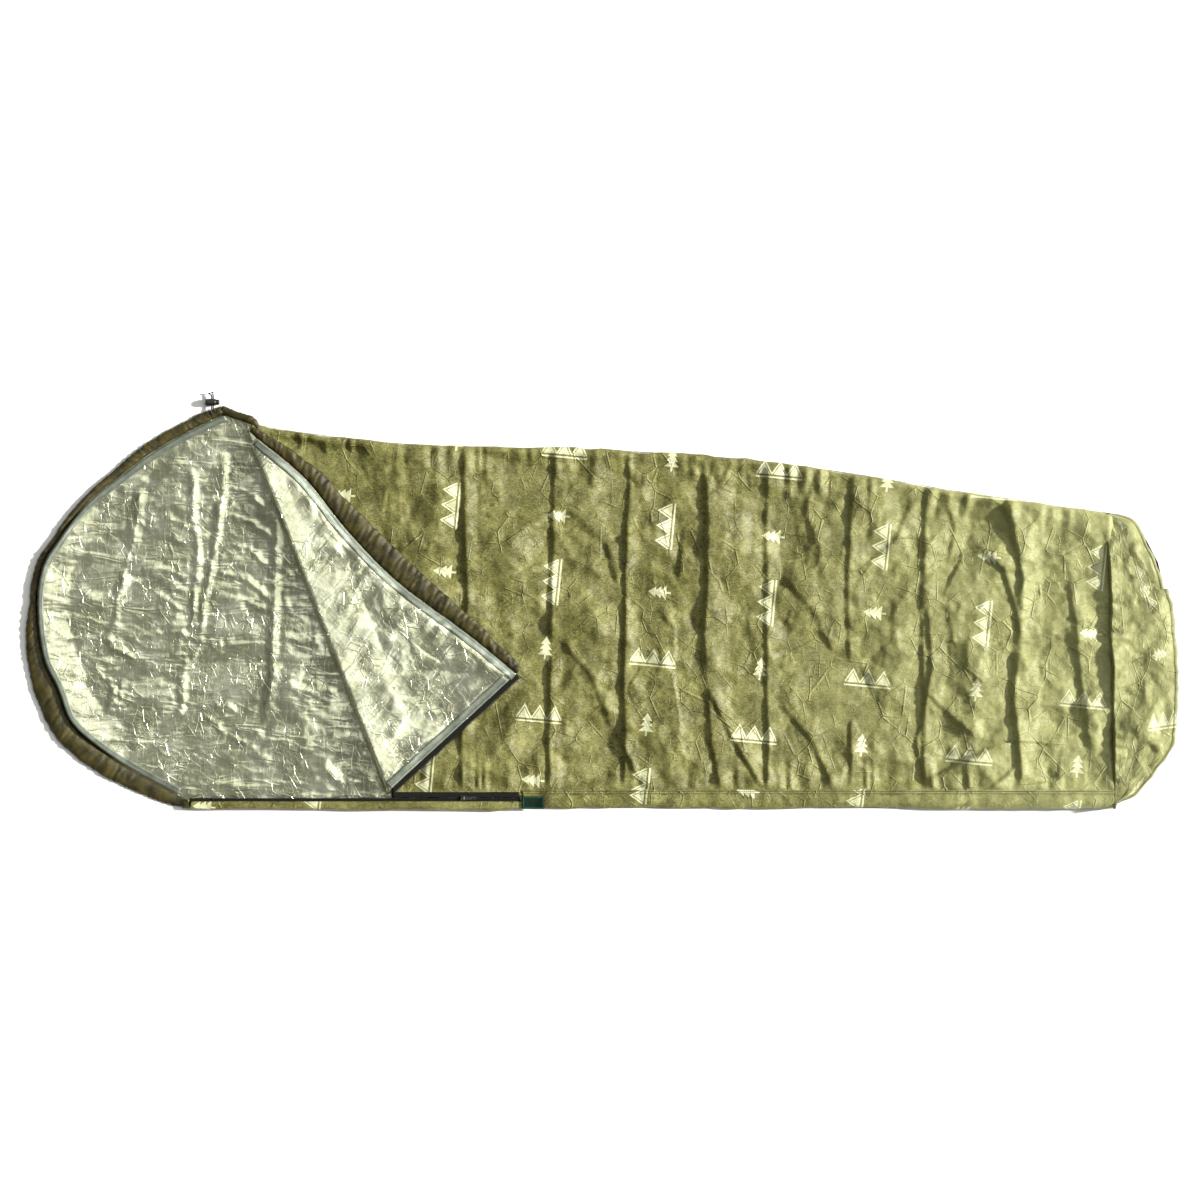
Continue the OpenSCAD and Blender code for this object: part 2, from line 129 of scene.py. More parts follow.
class Value:
    """A number in a material's node tree, for patterns made by arithmetic."""
    tree = None

    def __init__(self, socket):
        self.socket = socket

    def op(self, kind, *others):
        node = Value.tree.nodes.new("ShaderNodeMath")
        node.operation = kind
        for slot, value in zip(node.inputs, (self,) + others):
            if isinstance(value, Value):
                Value.tree.links.new(value.socket, slot)
            else:
                slot.default_value = value
        return Value(node.outputs[0])

    def __add__(self, other):
        return self.op("ADD", other)

    def __sub__(self, other):
        return self.op("SUBTRACT", other)

    def __mul__(self, other):
        return self.op("MULTIPLY", other)

    def under(self, other):
        return self.op("LESS_THAN", other)

    def over(self, other):
        return self.op("GREATER_THAN", other)

    def size(self):
        return self.op("ABSOLUTE")

    def ramp(self, low, high):
        """0 at low, 1 at high, smooth between."""
        node = Value.tree.nodes.new("ShaderNodeMapRange")
        node.interpolation_type = "SMOOTHSTEP"
        Value.tree.links.new(self.socket, node.inputs["Value"])
        node.inputs["From Min"].default_value = low
        node.inputs["From Max"].default_value = high
        return Value(node.outputs[0])


class Paint:
    """One material: a Principled shader and the patterns that drive it."""

    def __init__(self, name, colour, rough, metal=0.0, uv=False, **settings):
        self.mat = bpy.data.materials.new(name)
        self.mat.use_nodes = True
        self.tree = self.mat.node_tree
        Value.tree = self.tree
        self.shader = self.tree.nodes["Principled BSDF"]
        self.shader.inputs["Base Color"].default_value = srgb(colour)
        self.shader.inputs["Roughness"].default_value = rough
        self.shader.inputs["Metallic"].default_value = metal
        for key, value in settings.items():
            self.shader.inputs[key.replace("_", " ")].default_value = value
        coords = self.tree.nodes.new("ShaderNodeTexCoord")
        self.place = coords.outputs["UV" if uv else "Object"]

    def split(self):
        node = self.tree.nodes.new("ShaderNodeSeparateXYZ")
        self.tree.links.new(self.place, node.inputs[0])
        return [Value(s) for s in node.outputs]

    def stretched(self, scale, turn=0.0):
        """The coordinates, scaled along each axis and turned about Z."""
        node = self.tree.nodes.new("ShaderNodeMapping")
        node.inputs["Scale"].default_value = scale
        node.inputs["Rotation"].default_value = (0, 0, turn)
        self.tree.links.new(self.place, node.inputs["Vector"])
        return node.outputs[0]

    def noise(self, size, detail=4.0, rough=0.55, scale=(1, 1, 1), warp=0.0):
        node = self.tree.nodes.new("ShaderNodeTexNoise")
        node.inputs["Scale"].default_value = 1 / size
        node.inputs["Detail"].default_value = detail
        node.inputs["Roughness"].default_value = rough
        node.inputs["Distortion"].default_value = warp
        self.tree.links.new(self.stretched(scale), node.inputs["Vector"])
        return Value(node.outputs["Fac"])

    def cells(self, size):
        """Distance from the edges of cells of a size."""
        node = self.tree.nodes.new("ShaderNodeTexVoronoi")
        node.feature = "DISTANCE_TO_EDGE"
        node.inputs["Scale"].default_value = 1 / size
        self.tree.links.new(self.place, node.inputs["Vector"])
        return Value(node.outputs["Distance"])

    def vector(self, kind, *values):
        """A vector operation on sockets and plain vectors."""
        node = self.tree.nodes.new("ShaderNodeVectorMath")
        node.operation = kind
        for slot, value in zip(node.inputs, values):
            if isinstance(value, tuple):
                slot.default_value = value
            else:
                self.tree.links.new(value, slot)
        return node

    def facets(self, size, slope, warp):
        """Height in metres of tilted facets of a size, with crisp creases between them."""
        links, nodes = self.tree.links, self.tree.nodes
        wander = nodes.new("ShaderNodeTexNoise")
        wander.inputs["Scale"].default_value = 1 / (1.6 * size)
        wander.inputs["Detail"].default_value = 2.0
        links.new(self.place, wander.inputs["Vector"])
        shift = self.vector("MULTIPLY_ADD", wander.outputs["Color"], (warp, warp, 0), self.place)
        place = shift.outputs[0]
        cell = nodes.new("ShaderNodeTexVoronoi")
        cell.inputs["Scale"].default_value = 1 / size
        links.new(place, cell.inputs["Vector"])
        out = self.vector("SUBTRACT", place, cell.outputs["Position"])
        tilt = self.vector("MULTIPLY_ADD", cell.outputs["Color"], (2 * slope, 2 * slope, 0),
                           (-slope, -slope, 0))
        return Value(self.vector("DOT_PRODUCT", out.outputs[0], tilt.outputs[0]).outputs["Value"])

    def wave(self, size, turn=0.0):
        """Even ribs, turned about Z."""
        node = self.tree.nodes.new("ShaderNodeTexWave")
        node.inputs["Scale"].default_value = 0.5 / size
        self.tree.links.new(self.stretched((1, 1, 1), turn), node.inputs["Vector"])
        return Value(node.outputs["Fac"])

    def mix(self, factor, first, second):
        """Colour between two colours, hex or sockets."""
        node = self.tree.nodes.new("ShaderNodeMix")
        node.data_type = "RGBA"
        self.tree.links.new(factor.socket, node.inputs["Factor"])
        for key, colour in (("A", first), ("B", second)):
            slot = [s for s in node.inputs if s.name == key and s.type == "RGBA"][0]
            if isinstance(colour, str):
                slot.default_value = srgb(colour)
            else:
                self.tree.links.new(colour, slot)
        return [s for s in node.outputs if s.type == "RGBA"][0]

    def colour(self, socket):
        self.tree.links.new(socket, self.shader.inputs["Base Color"])

    def rough(self, value):
        self.tree.links.new(value.socket, self.shader.inputs["Roughness"])

    def bump(self, height, deep, strength=1.0):
        """Relief in which a height of 1 stands a depth in metres proud."""
        node = self.tree.nodes.new("ShaderNodeBump")
        node.inputs["Strength"].default_value = strength
        node.inputs["Distance"].default_value = deep
        self.tree.links.new(height.socket, node.inputs["Height"])
        self.tree.links.new(node.outputs[0], self.shader.inputs["Normal"])


def pine_mask(x, y):
    """Generic pine tree, 42 mm tall."""
    mask = (x.size().under(1.8 * MM)) * (y + 17 * MM).size().under(4.5 * MM)
    for k in range(3):
        below = (y * -1) + (21 - 10 * k) * MM
        tier = below.over(0) * below.under(14 * MM) * x.size().under(below * (0.66 + 0.16 * k))
        mask = mask.op("MAXIMUM", tier)
    return mask


def peaks_mask(x, y):
    """Generic range of three mountain peaks over a line, 86 mm long."""
    tent = ((x * (1 / (28 * MM)) + 0.5).op("FRACT") - 0.5).size() * -2 + 1
    crest = tent * (24 * MM) - 6 * MM
    body = x.size().under(42 * MM) * y.over(-9 * MM) * y.under(crest)
    snow_line = ((crest - y) - 7 * MM).size().over(1.4 * MM)
    ground = x.size().under(43 * MM) * (y + 14 * MM).size().under(1.5 * MM)
    return (body * snow_line).op("MAXIMUM", ground)


def print_mask(u, v):
    """Pines and peaks in a leaning lattice, in turn, with the peaks turned by quarters."""
    lean = math.radians(5.5)
    across, down = 200 * MM, 123 * MM
    du, dv = u - 130 * MM, v - 266 * MM
    s = du * math.cos(lean) - dv * math.sin(lean)
    t = du * -math.sin(lean) - dv * math.cos(lean)
    column = (s * (1 / across) + 0.5).op("FLOOR")
    row = (t * (1 / down) + 0.5).op("FLOOR")
    p = s - column * across
    q = row * down - t
    turn = ((row + 1).op("FLOORED_MODULO", 4.0) * 0.5).op("FLOOR") * (math.pi / 2)
    c, n = turn.op("COSINE"), turn.op("SINE")
    x = p * c + q * n
    y = q * c - p * n
    odd = (row + column).op("FLOORED_MODULO", 2.0).over(0.5)
    return peaks_mask(x, y) * odd + pine_mask(x, y) * (odd * -1 + 1)


def shell_paint():
    """Olive spun fabric with a cream print, worn along its crests; painted light lightens it towards the
    foot, and painted shade darkens the foot's wall.
    """
    paint = Paint("shell", "#8d9150", 0.46, uv=True, Specular_IOR_Level=0.45)
    u, v, _ = paint.split()
    cloud = paint.noise(45 * MM, 5.0, 0.6)
    fibre = paint.noise(6 * MM, 7.0, 0.75, (1, 2.0, 1), 0.8)
    speck = paint.noise(2.2 * MM, 4.0, 0.7)
    tone = (cloud * 0.3 + fibre * 0.4 + speck * 0.3).ramp(0.42, 0.59)
    base = paint.mix(tone, "#4d4b1c", "#87854a")
    # Painted light: the colour lightens towards the foot end, where the key light comes from, and is
    # lightest on the foot cap, whose cut starts at 1.2.
    foot = u.ramp(0.1, 1.15) * 0.8
    base = paint.mix(foot, base, "#a2a46c")
    # Painted shade: the foot cap's wall, the first rows of its cut past 1.19, is darkened against its lit
    # top.
    base = paint.mix(u.over(1.19) * u.ramp(1.27, 1.25) * 0.55, base, "#55552c")
    worn = paint.noise(7 * MM, 6.0, 0.75).ramp(0.32, 0.46)
    base = paint.mix(print_mask(u, v) * (worn * 0.5 + 0.22), base, "#e2e4ba")
    paint.colour(base)
    paint.rough(fibre * 0.3 + 0.34)
    creased = paint.facets(62 * MM, 0.07, 40 * MM) + paint.facets(26 * MM, 0.08, 14 * MM)
    creased = creased + paint.facets(11 * MM, 0.07, 5 * MM)
    crests = paint.cells(48 * MM).ramp(0.035, 0.0) * (1.2 * MM)
    crests = crests + paint.cells(19 * MM).ramp(0.05, 0.0) * (0.5 * MM)
    shown = paint.noise(70 * MM, 2.0).ramp(0.42, 0.62)
    grain = fibre * (0.7 * MM) + speck * (0.35 * MM)
    paint.bump(creased + crests * shown + grain, 1.0)
    return paint.mat


def lining_paint():
    """Vapour-coated reflective film, with fine creases and short streaks."""
    paint = Paint("lining", "#d9dcc0", 0.3, 0.9, uv=True)
    streak = paint.noise(14 * MM, 3.0, 0.6, (3.0, 0.45, 1))
    cloud = paint.noise(60 * MM, 4.0, 0.6)
    paint.colour(paint.mix((streak * 0.35 + cloud * 0.65).ramp(0.35, 0.65), "#c3c6a2", "#eaedcf"))
    paint.rough(cloud * 0.14 + 0.19)
    creased = paint.facets(34 * MM, 0.055, 20 * MM) + paint.facets(13 * MM, 0.035, 8 * MM)
    wrinkle = (paint.noise(30 * MM, 2.0, 0.5, (0.35, 1, 1), 0.6) - 0.5).size() * -1 * (5 * MM)
    shown = paint.noise(55 * MM, 2.0).ramp(0.44, 0.62)
    crests = paint.cells(24 * MM).ramp(0.035, 0.0) * (0.6 * MM)
    crests = crests + paint.cells(9 * MM).ramp(0.06, 0.0) * (0.12 * MM)
    mark = streak.ramp(0.60, 0.70) * (0.12 * MM)
    paint.bump(creased + wrinkle + crests * shown + mark, 1.0)
    return paint.mat


def nylon_paint():
    """Shiny dark olive woven tape of the drawcord channels."""
    paint = Paint("channel_nylon", "#2e2a0d", 0.4, uv=True, Specular_IOR_Level=0.4)
    cloud = paint.noise(22 * MM, 4.0, 0.6)
    weave = paint.wave(0.9 * MM) * 0.5 + paint.wave(0.9 * MM, math.pi / 2) * 0.5
    paint.colour(paint.mix(cloud.ramp(0.3, 0.7), "#211e07", "#4a4317"))
    paint.rough(cloud * 0.2 + 0.3)
    paint.bump(weave * 0.4 + cloud, 0.5 * MM, 0.6)
    return paint.mat


def tape_paint():
    """Grey seam tape with a fine rib."""
    paint = Paint("seam_tape", "#70766d", 0.42, 0.35, uv=True)
    cloud = paint.noise(20 * MM, 4.0, 0.6)
    rib = paint.wave(1.3 * MM, 0.6)
    paint.colour(paint.mix((cloud * 0.8 + rib * 0.2).ramp(0.35, 0.65), "#555c50", "#7b8274"))
    paint.bump(rib * 0.5 + cloud, 0.4 * MM, 0.6)
    return paint.mat


def zip_tape_paint():
    """Black herringbone zip tape."""
    paint = Paint("zip_tape", "#17170f", 0.75, uv=True, Specular_IOR_Level=0.2)
    rib = paint.wave(1.1 * MM, 0.7) * 0.5 + paint.wave(1.1 * MM, -0.7) * 0.5
    cloud = paint.noise(9 * MM, 4.0, 0.6)
    paint.colour(paint.mix((rib * 0.5 + cloud * 0.5).ramp(0.3, 0.7), "#080806", "#15140f"))
    paint.bump(rib, 0.3 * MM, 0.7)
    return paint.mat


def plain_paint(name, dark, light, rough, metal=0.0, grain=4 * MM):
    """Moulded or metal finish with small variations of colour and gloss."""
    paint = Paint(name, dark, rough, metal)
    cloud = paint.noise(grain, 5.0, 0.65)
    paint.colour(paint.mix(cloud.ramp(0.35, 0.65), dark, light))
    paint.rough(cloud * 0.3 + (rough - 0.15))
    paint.bump(cloud, 0.08 * MM, 0.5)
    return paint.mat


def cord_paint():
    """Black braided cord."""
    paint = Paint("cord_braid", "#14140f", 0.6, uv=True)
    braid = paint.wave(1.4 * MM, 0.8) * 0.5 + paint.wave(1.4 * MM, -0.8) * 0.5
    paint.colour(paint.mix(braid.ramp(0.3, 0.8), "#0c0c09", "#34332a"))
    paint.bump(braid, 0.3 * MM, 0.9)
    return paint.mat


def label_paint():
    """Blank woven label, dark green with a lighter border."""
    paint = Paint("label", "#0c2a1c", 0.75, uv=True, Specular_IOR_Level=0.15)
    u, v, _ = paint.split()
    rib = paint.wave(0.8 * MM)
    border = (u - 0.5).size().over(0.44).op("MAXIMUM", (v - 0.5).size().over(0.40))
    inner = (u - 0.5).size().under(0.465) * (v - 0.5).size().under(0.44)
    base = paint.mix(rib * 0.5, "#04140d", "#082a1a")
    paint.colour(paint.mix(border * inner, base, "#1d5a40"))
    paint.bump(rib, 0.2 * MM, 0.6)
    return paint.mat


def floor_paint():
    """Pale matt studio floor."""
    paint = Paint("floor", "#f2f2f0", 0.8)
    cloud = paint.noise(0.6, 2.0, 0.5)
    paint.colour(paint.mix(cloud.ramp(0.2, 0.8), "#f1f1ef", "#f5f5f3"))
    return paint.mat


SHELL = shell_paint()
LINING = lining_paint()
NYLON = nylon_paint()
TAPE = tape_paint()
ZIP_TAPE = zip_tape_paint()
COIL = plain_paint("coil_black", "#090907", "#16150f", 0.6)
METAL = plain_paint("zip_metal", "#4a4b46", "#74766e", 0.34, 1.0)
SPRING = plain_paint("spring_steel", "#8f928c", "#c4c6c0", 0.25, 1.0)
PLASTIC = plain_paint("lock_plastic", "#121210", "#26261f", 0.38)
GREY_THREAD = plain_paint("thread_grey", "#262824", "#474a43", 0.75, 0.0, 0.8 * MM)
BLACK_THREAD = plain_paint("thread_black", "#0f0f0c", "#24241c", 0.75, 0.0, 0.8 * MM)
CORD = cord_paint()
LABEL = label_paint()


# ---------------------------------------------------------------- random fields

def chance(i, j, salt):
    """Repeatable number from 0 to 1 for each whole-numbered cell."""
    n = (i.astype(np.int64) * 73856093) ^ (j.astype(np.int64) * 19349663) ^ (salt * 83492791)
    n = ((n ^ (n >> 13)) * 1274126177) & 0x7FFFFFFF
    n = ((n ^ (n >> 15)) * 668265263) & 0x7FFFFFFF
    return ((n ^ (n >> 11)) & 0xFFFFF) / float(0xFFFFF)


def noise(x, y, size, salt):
    """Smooth noise from -1 to 1."""
    u, v = x / size, y / size
    i, j = np.floor(u), np.floor(v)
    f, g = u - i, v - j
    f, g = f * f * (3 - 2 * f), g * g * (3 - 2 * g)
    low = chance(i, j, salt) * (1 - f) + chance(i + 1, j, salt) * f
    high = chance(i, j + 1, salt) * (1 - f) + chance(i + 1, j + 1, salt) * f
    return 2 * (low * (1 - g) + high * g) - 1


def drift(t, size, salt):
    """Smooth noise from -1 to 1 along a line."""
    return noise(t, 0 * t, size, salt)


def facets(x, y, size, salt, tilt=0.5, crown=0.4):
    """Tilted facets that meet in sharp valleys, in units of size."""
    u, v = x / size, y / size
    i, j = np.floor(u), np.floor(v)
    best = np.full(np.shape(u), -9.0)
    for a in (-1, 0, 1):
        for b in (-1, 0, 1):
            p, q = i + a, j + b
            dx = u - p - chance(p, q, salt)
            dy = v - q - chance(p, q, salt + 1)
            gx = tilt * (2 * chance(p, q, salt + 2) - 1)
            gy = tilt * (2 * chance(p, q, salt + 3) - 1)
            lift = 0.25 * chance(p, q, salt + 4)
            best = np.maximum(best, lift + gx * dx + gy * dy - crown * (dx * dx + dy * dy))
    return best


def crumple(x, y, size, salt):
    """Crumpled fabric of unit slope: facets with sharp crests, and smaller ones on them."""
    wx = x + 0.25 * size * noise(x, y, 0.8 * size, salt + 20)
    wy = y + 0.25 * size * noise(x, y, 0.8 * size, salt + 21)
    h = -facets(wx, wy, size, salt) * size
    h += 0.5 * facets(wy, wx, 0.55 * size, salt + 30) * size
    h -= 0.25 * facets(wx, wy, 0.28 * size, salt + 40) * size
    return h


def ramp(value, low, high):
    """Smooth step from 0 at low to 1 at high."""
    t = np.clip((value - low) / (high - low), 0, 1)
    return t * t * (3 - 2 * t)


def fold_wave(t):
    """Sharp-crested wave of period 1 between 0 and 1."""
    return 1 - np.abs(2 * (t - np.floor(t)) - 1)


def from_line(x, y, line):
    """Signed distance from an open line, positive on its right, and the share of its length."""
    line = np.asarray(line, float)
    steps = np.hypot(*np.diff(line, axis=0).T)
    starts = np.concatenate([[0], np.cumsum(steps)])
    best = np.full(np.shape(x), 1e9)
    sign = np.ones(np.shape(x))
    share = np.zeros(np.shape(x))
    for k, (a, b) in enumerate(zip(line[:-1], line[1:])):
        d = b - a
        t = np.clip(((x - a[0]) * d[0] + (y - a[1]) * d[1]) / (d @ d), 0, 1)
        px, py = x - a[0] - t * d[0], y - a[1] - t * d[1]
        far = np.hypot(px, py)
        near = far < best
        best = np.where(near, far, best)
        sign = np.where(near, np.sign(px * d[1] - py * d[0] + 1e-12), sign)
        share = np.where(near, (starts[k] + t * steps[k]) / starts[-1], share)
    return best * sign, share


def ridge(x, y, line, left, right, height, ends=0.15):
    """Roof-shaped crease along a line, with its own width on each side."""
    wander = 3 * MM * noise(x, y, 45 * MM, 77)
    off, share = from_line(x + wander, y - wander, np.array(line) * MM)
    width = np.where(off < 0, left, right) * MM
    roof = np.clip(1 - np.abs(off) / width, 0, 1)
    taper = np.clip(np.minimum(share, 1 - share) / ends + 0.15, 0, 1)
    return height * MM * roof * taper


# ---------------------------------------------------------------- outlines from the CAD nodes

def points_of(obj):
    """Places of an object's vertices."""
    return np.array([v.co for v in obj.data.vertices])


def move_points(obj, co):
    """Puts an object's vertices in new places."""
    obj.data.vertices.foreach_set("co", co.astype(np.float32).ravel())


def outline(node):
    """Corners of a CAD node's underside, in order round its edge, as x and y."""
    mesh = frame["nodes"][node].data
    co = points_of(frame["nodes"][node])
    spots, index = np.unique(np.round(co, 5), axis=0, return_inverse=True)
    index = index.ravel()
    edges = set()
    for face in mesh.polygons:
        if face.normal.z < -0.9:
            ring = [int(index[k]) for k in face.vertices]
            edges.update(zip(ring, ring[1:] + ring[:1]))
    after = {a: b for a, b in edges if (b, a) not in edges}
    start = at = min(after)
    loop = []
    while not loop or at != start:
        loop.append(spots[at][:2])
        at = after[at]
    return np.array(loop)


def reach(loop, at, axis=0):
    """Lowest and highest crossing of a closed outline at a coordinate along an axis."""
    a, b = loop, np.roll(loop, -1, axis=0)
    low, high = np.full(len(at), 1e9), np.full(len(at), -1e9)
    for p, q in zip(a, b):
        u, v = p[axis], q[axis]
        if abs(u - v) < 1e-9:
            continue
        t = (at - u) / (v - u)
        w = p[1 - axis] + t * (q[1 - axis] - p[1 - axis])
        on = (t >= -1e-6) & (t <= 1 + 1e-6)
        low = np.where(on, np.minimum(low, w), low)
        high = np.where(on, np.maximum(high, w), high)
    return low, high


def channel_sides(node, panel):
    """Seam side and free side of a drawcord channel, point by point."""
    loop = outline(node)
    seam = np.array([np.hypot(*(panel - p).T).min() < 0.6 * MM for p in loop])
    first = [k for k in range(len(loop)) if seam[k] and not seam[k - 1]][0]
    loop, seam = np.roll(loop, -first, axis=0), np.roll(seam, -first)
    inner, outer = loop[seam], loop[~seam][::-1]
    return even(inner, 400), even(outer, 400)


def even(line, count):
    """A line sampled at even steps."""
    line = np.asarray(line, float)
    far = length_along(line)
    at = np.linspace(0, far[-1], count)
    return np.stack([np.interp(at, far, line[:, k]) for k in range(line.shape[1])], 1)


def length_along(line):
    """Distance along a line at each of its points."""
    return np.concatenate([[0], np.cumsum(np.linalg.norm(np.diff(line, axis=0), axis=1))])


def smooth(line, rounds=2):
    """A line with its corners eased."""
    line = np.array(line, float)
    for _ in range(rounds):
        line[1:-1] = 0.25 * line[:-2] + 0.5 * line[1:-1] + 0.25 * line[2:]
    return line


BACK = outline("back_panel")
FRONT = outline("front_panel")
FLAP = outline("front_flap")
HOOD_IN, HOOD_OUT = channel_sides("hood_channel", BACK)
BAND_IN, BAND_OUT = channel_sides("flap_channel", FLAP)

FOLD = [j for j in frame["joints"] if j["name"] == "flap_fold"][0]
HINGE = np.array(FOLD["pos_m"], float)
ALONG = np.array(FOLD["axis"], float)
ALONG = -ALONG / np.linalg.norm(ALONG)
FOOT_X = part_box("foot_gusset")[0].x
FRONT_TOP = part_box("zip_tape_front")[1].z
NEAR_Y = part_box("near_side_wall")[0].y
EDGE_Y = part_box("zip_tape_front")[1].y
FLAP_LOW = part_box("front_flap")[0].z
ZIP_Y = (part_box("zip_coil_back")[1].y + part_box("zip_coil_front")[0].y) / 2
ZIP_Z = (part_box("zip_coil_back")[1].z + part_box("zip_coil_back")[0].z) / 2
ZIP_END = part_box("zip_coil_back")[1].x
FOLD_FAR_Y = FRONT[FRONT[:, 0] < -0.64][:, 1].max()
FLAP_TIP_Y = 0.318
CUT_Y = NEAR_Y - 30 * MM
WIRE = 0.42 * MM
WIRE_INSET = 0.36 * MM
TAPE_STITCHES = (0.22, 0.78)


def fold_x(y):
    """X of the flap's fold line."""
    return HINGE[0] + (y - HINGE[1]) * ALONG[0] / ALONG[1]


FLAP_TIP = np.array([fold_x(FLAP_TIP_Y) + 4 * MM, FLAP_TIP_Y])


def from_far(inner, outer):
    """Both sides of a channel, starting at their far end."""
    if inner[0, 1] > inner[-1, 1]:
        return inner, outer
    return inner[::-1], outer[::-1]


def turned(x, y):
    """A point in plan, carried between the closed and the open flap."""
    dx, dy = x - HINGE[0], y - HINGE[1]
    reach_along = dx * ALONG[0] + dy * ALONG[1]
    return (HINGE[0] + 2 * reach_along * ALONG[0] - dx,
            HINGE[1] + 2 * reach_along * ALONG[1] - dy)


# ---------------------------------------------------------------- mesh builders

def add_object(name, verts, faces, mats, uvs=None, kinds=None):
    mesh = bpy.data.meshes.new(name)
    mesh.from_pydata(np.asarray(verts).tolist(), [], [tuple(f) for f in faces])
    for mat in mats:
        mesh.materials.append(mat)
    if uvs is not None:
        layer = mesh.uv_layers.new(name="cut")
        index = np.zeros(len(mesh.loops), np.int64)
        mesh.loops.foreach_get("vertex_index", index)
        layer.data.foreach_set("uv", np.asarray(uvs, np.float32)[index].ravel())
    if kinds is not None:
        mesh.polygons.foreach_set("material_index", np.asarray(kinds, np.int32))
    mesh.polygons.foreach_set("use_smooth", np.ones(len(mesh.polygons), bool))
    mesh.update()
    obj = bpy.data.objects.new(name, mesh)
    bpy.context.scene.collection.objects.link(obj)
    return obj


def grid_quads(rows, cols):
    r, c = np.mgrid[0:rows - 1, 0:cols - 1]
    a = (r * cols + c).ravel()
    return np.stack([a, a + 1, a + cols + 1, a + cols], 1)


def normals(top):
    """Unit normals of a grid of points."""
    n = np.cross(np.gradient(top, axis=1), np.gradient(top, axis=0))
    return n / np.maximum(np.linalg.norm(n, axis=2, keepdims=True), 1e-12)


def face_up(top, cut, axis=0):
    """A grid and its cut, turned over if its normals point down."""
    if normals(top)[:, :, 2].mean() < 0:
        return np.flip(top, axis), np.flip(cut, axis)
    return top, cut


def lowest_near(z, reach_cells):
    """Lowest value of a grid within some cells of each point."""
    out = z.copy()
    for axis in (0, 1):
        first, last = [out.take([k] * reach_cells, axis) for k in (0, -1)]
        padded = np.concatenate([first, out, last], axis)
        count = out.shape[axis]
        out = np.min([padded.take(range(k, k + count), axis) for k in range(2 * reach_cells + 1)], axis=0)
    return out


def closed_sheet(name, top, cut, mats, thick=0.5 * MM, step=1):
    """Thin closed sheet from a grid of points whose normals face its first material.

    The hidden side has one point for every step points of the shown side.
    """
    rows, cols = top.shape[:2]
    under = top - normals(top) * thick
    if step > 1:
        under[:, :, 2] = np.minimum(under[:, :, 2], lowest_near(top[:, :, 2], step) - 0.3 * MM)
        under[:, :, 2] = np.maximum(under[:, :, 2], np.minimum(0.3 * MM, top[:, :, 2] - 0.2 * MM))
    under = under[::step, ::step]
    low_rows, low_cols = under.shape[:2]
    verts = np.concatenate([top.reshape(-1, 3), under.reshape(-1, 3)])
    quads = grid_quads(rows, cols)
    low_quads = grid_quads(low_rows, low_cols)[:, ::-1] + rows * cols
    index = np.arange(rows * cols).reshape(rows, cols)
    low = np.arange(low_rows * low_cols).reshape(low_rows, low_cols) + rows * cols
    rim = []
    for fine, coarse in ((index[0], low[0]), (index[:, -1], low[:, -1]),
                         (index[-1, ::-1], low[-1, ::-1]), (index[::-1, 0], low[::-1, 0])):
        for k in range(len(coarse) - 1):
            rim.append(tuple(fine[k * step:(k + 1) * step + 1][::-1]) + (coarse[k], coarse[k + 1]))
    faces = quads.tolist() + low_quads.tolist() + rim
    kinds = np.concatenate([np.zeros(len(quads)), np.ones(len(low_quads) + len(rim))])
    cut = np.asarray(cut)
    uvs = np.concatenate([cut.reshape(-1, 2), cut[::step, ::step].reshape(-1, 2)])
    return add_object(name, verts, faces, mats, uvs, kinds if len(mats) > 1 else None)


def ring_faces(rings, sides):
    """Walls and end caps of a tube of rings."""
    faces = []
    for r in range(rings - 1):
        for k in range(sides):
            a, b = r * sides + k, r * sides + (k + 1) % sides
            faces.append((a, a + sides, b + sides, b))
    faces.append(tuple(range(sides)))
    faces.append(tuple((rings - 1) * sides + k for k in reversed(range(sides))))
    return faces


def tube(path, radius, sides=8, upright=(0.03, 0.05, 1.0)):
    """Round tube along a path: points, faces and coordinates along and round it."""
    path = np.asarray(path, float)
    ahead = np.gradient(path, axis=0)
    ahead /= np.linalg.norm(ahead, axis=1, keepdims=True)
    across = np.cross(ahead, upright)
    across /= np.maximum(np.linalg.norm(across, axis=1, keepdims=True), 1e-9)
    up = np.cross(across, ahead)
    radius = np.broadcast_to(radius, len(path))
    verts, uvs = [], []
    far = length_along(path)
    for k in range(sides):
        a = math.tau * k / sides
        verts.append(path + radius[:, None] * (across * math.cos(a) + up * math.sin(a)))
        uvs.append(np.stack([far, np.full(len(path), radius.mean() * a)], 1))
    verts = np.stack(verts, 1).reshape(-1, 3)
    uvs = np.stack(uvs, 1).reshape(-1, 2)
    return verts, ring_faces(len(path), sides), uvs


def joined(name, parts, mats):
    """One object from several sets of points and faces."""
    verts, faces, uvs, start = [], [], [], 0
    for v, f, uv in parts:
        verts.append(v)
        uvs.append(uv)
        faces += [tuple(k + start for k in face) for face in f]
        start += len(v)
    return add_object(name, np.concatenate(verts), faces, mats, np.concatenate(uvs))


def curved(points, steps=8):
    """Catmull-Rom curve through points."""
    p = np.array(points, float)
    p = np.concatenate([[2 * p[0] - p[1]], p, [2 * p[-1] - p[-2]]])
    out = []
    for k in range(1, len(p) - 2):
        for t in np.arange(0, 1, 1 / steps):
            a, b, c, d = p[k - 1:k + 3]
            out.append(0.5 * (2 * b + (c - a) * t + (2 * a - 5 * b + 4 * c - d) * t * t
                              + (3 * b - a - 3 * c + d) * t ** 3))
    out.append(p[-2])
    return np.array(out)


def surface_of(obj):
    """Search tree of an object's faces, for laying pieces on it."""
    return BVHTree.FromPolygons([v.co for v in obj.data.vertices],
                                [tuple(p.vertices) for p in obj.data.polygons])


def height_on(tree, x, y, default):
    """Height of a surface under points in plan."""
    out = []
    for a, b in zip(np.ravel(x), np.ravel(y)):
        hit = tree.ray_cast(Vector((a, b, 0.2)), Vector((0, 0, -1)))[0]
        out.append(hit.z if hit else default)
    return np.array(out).reshape(np.shape(x))


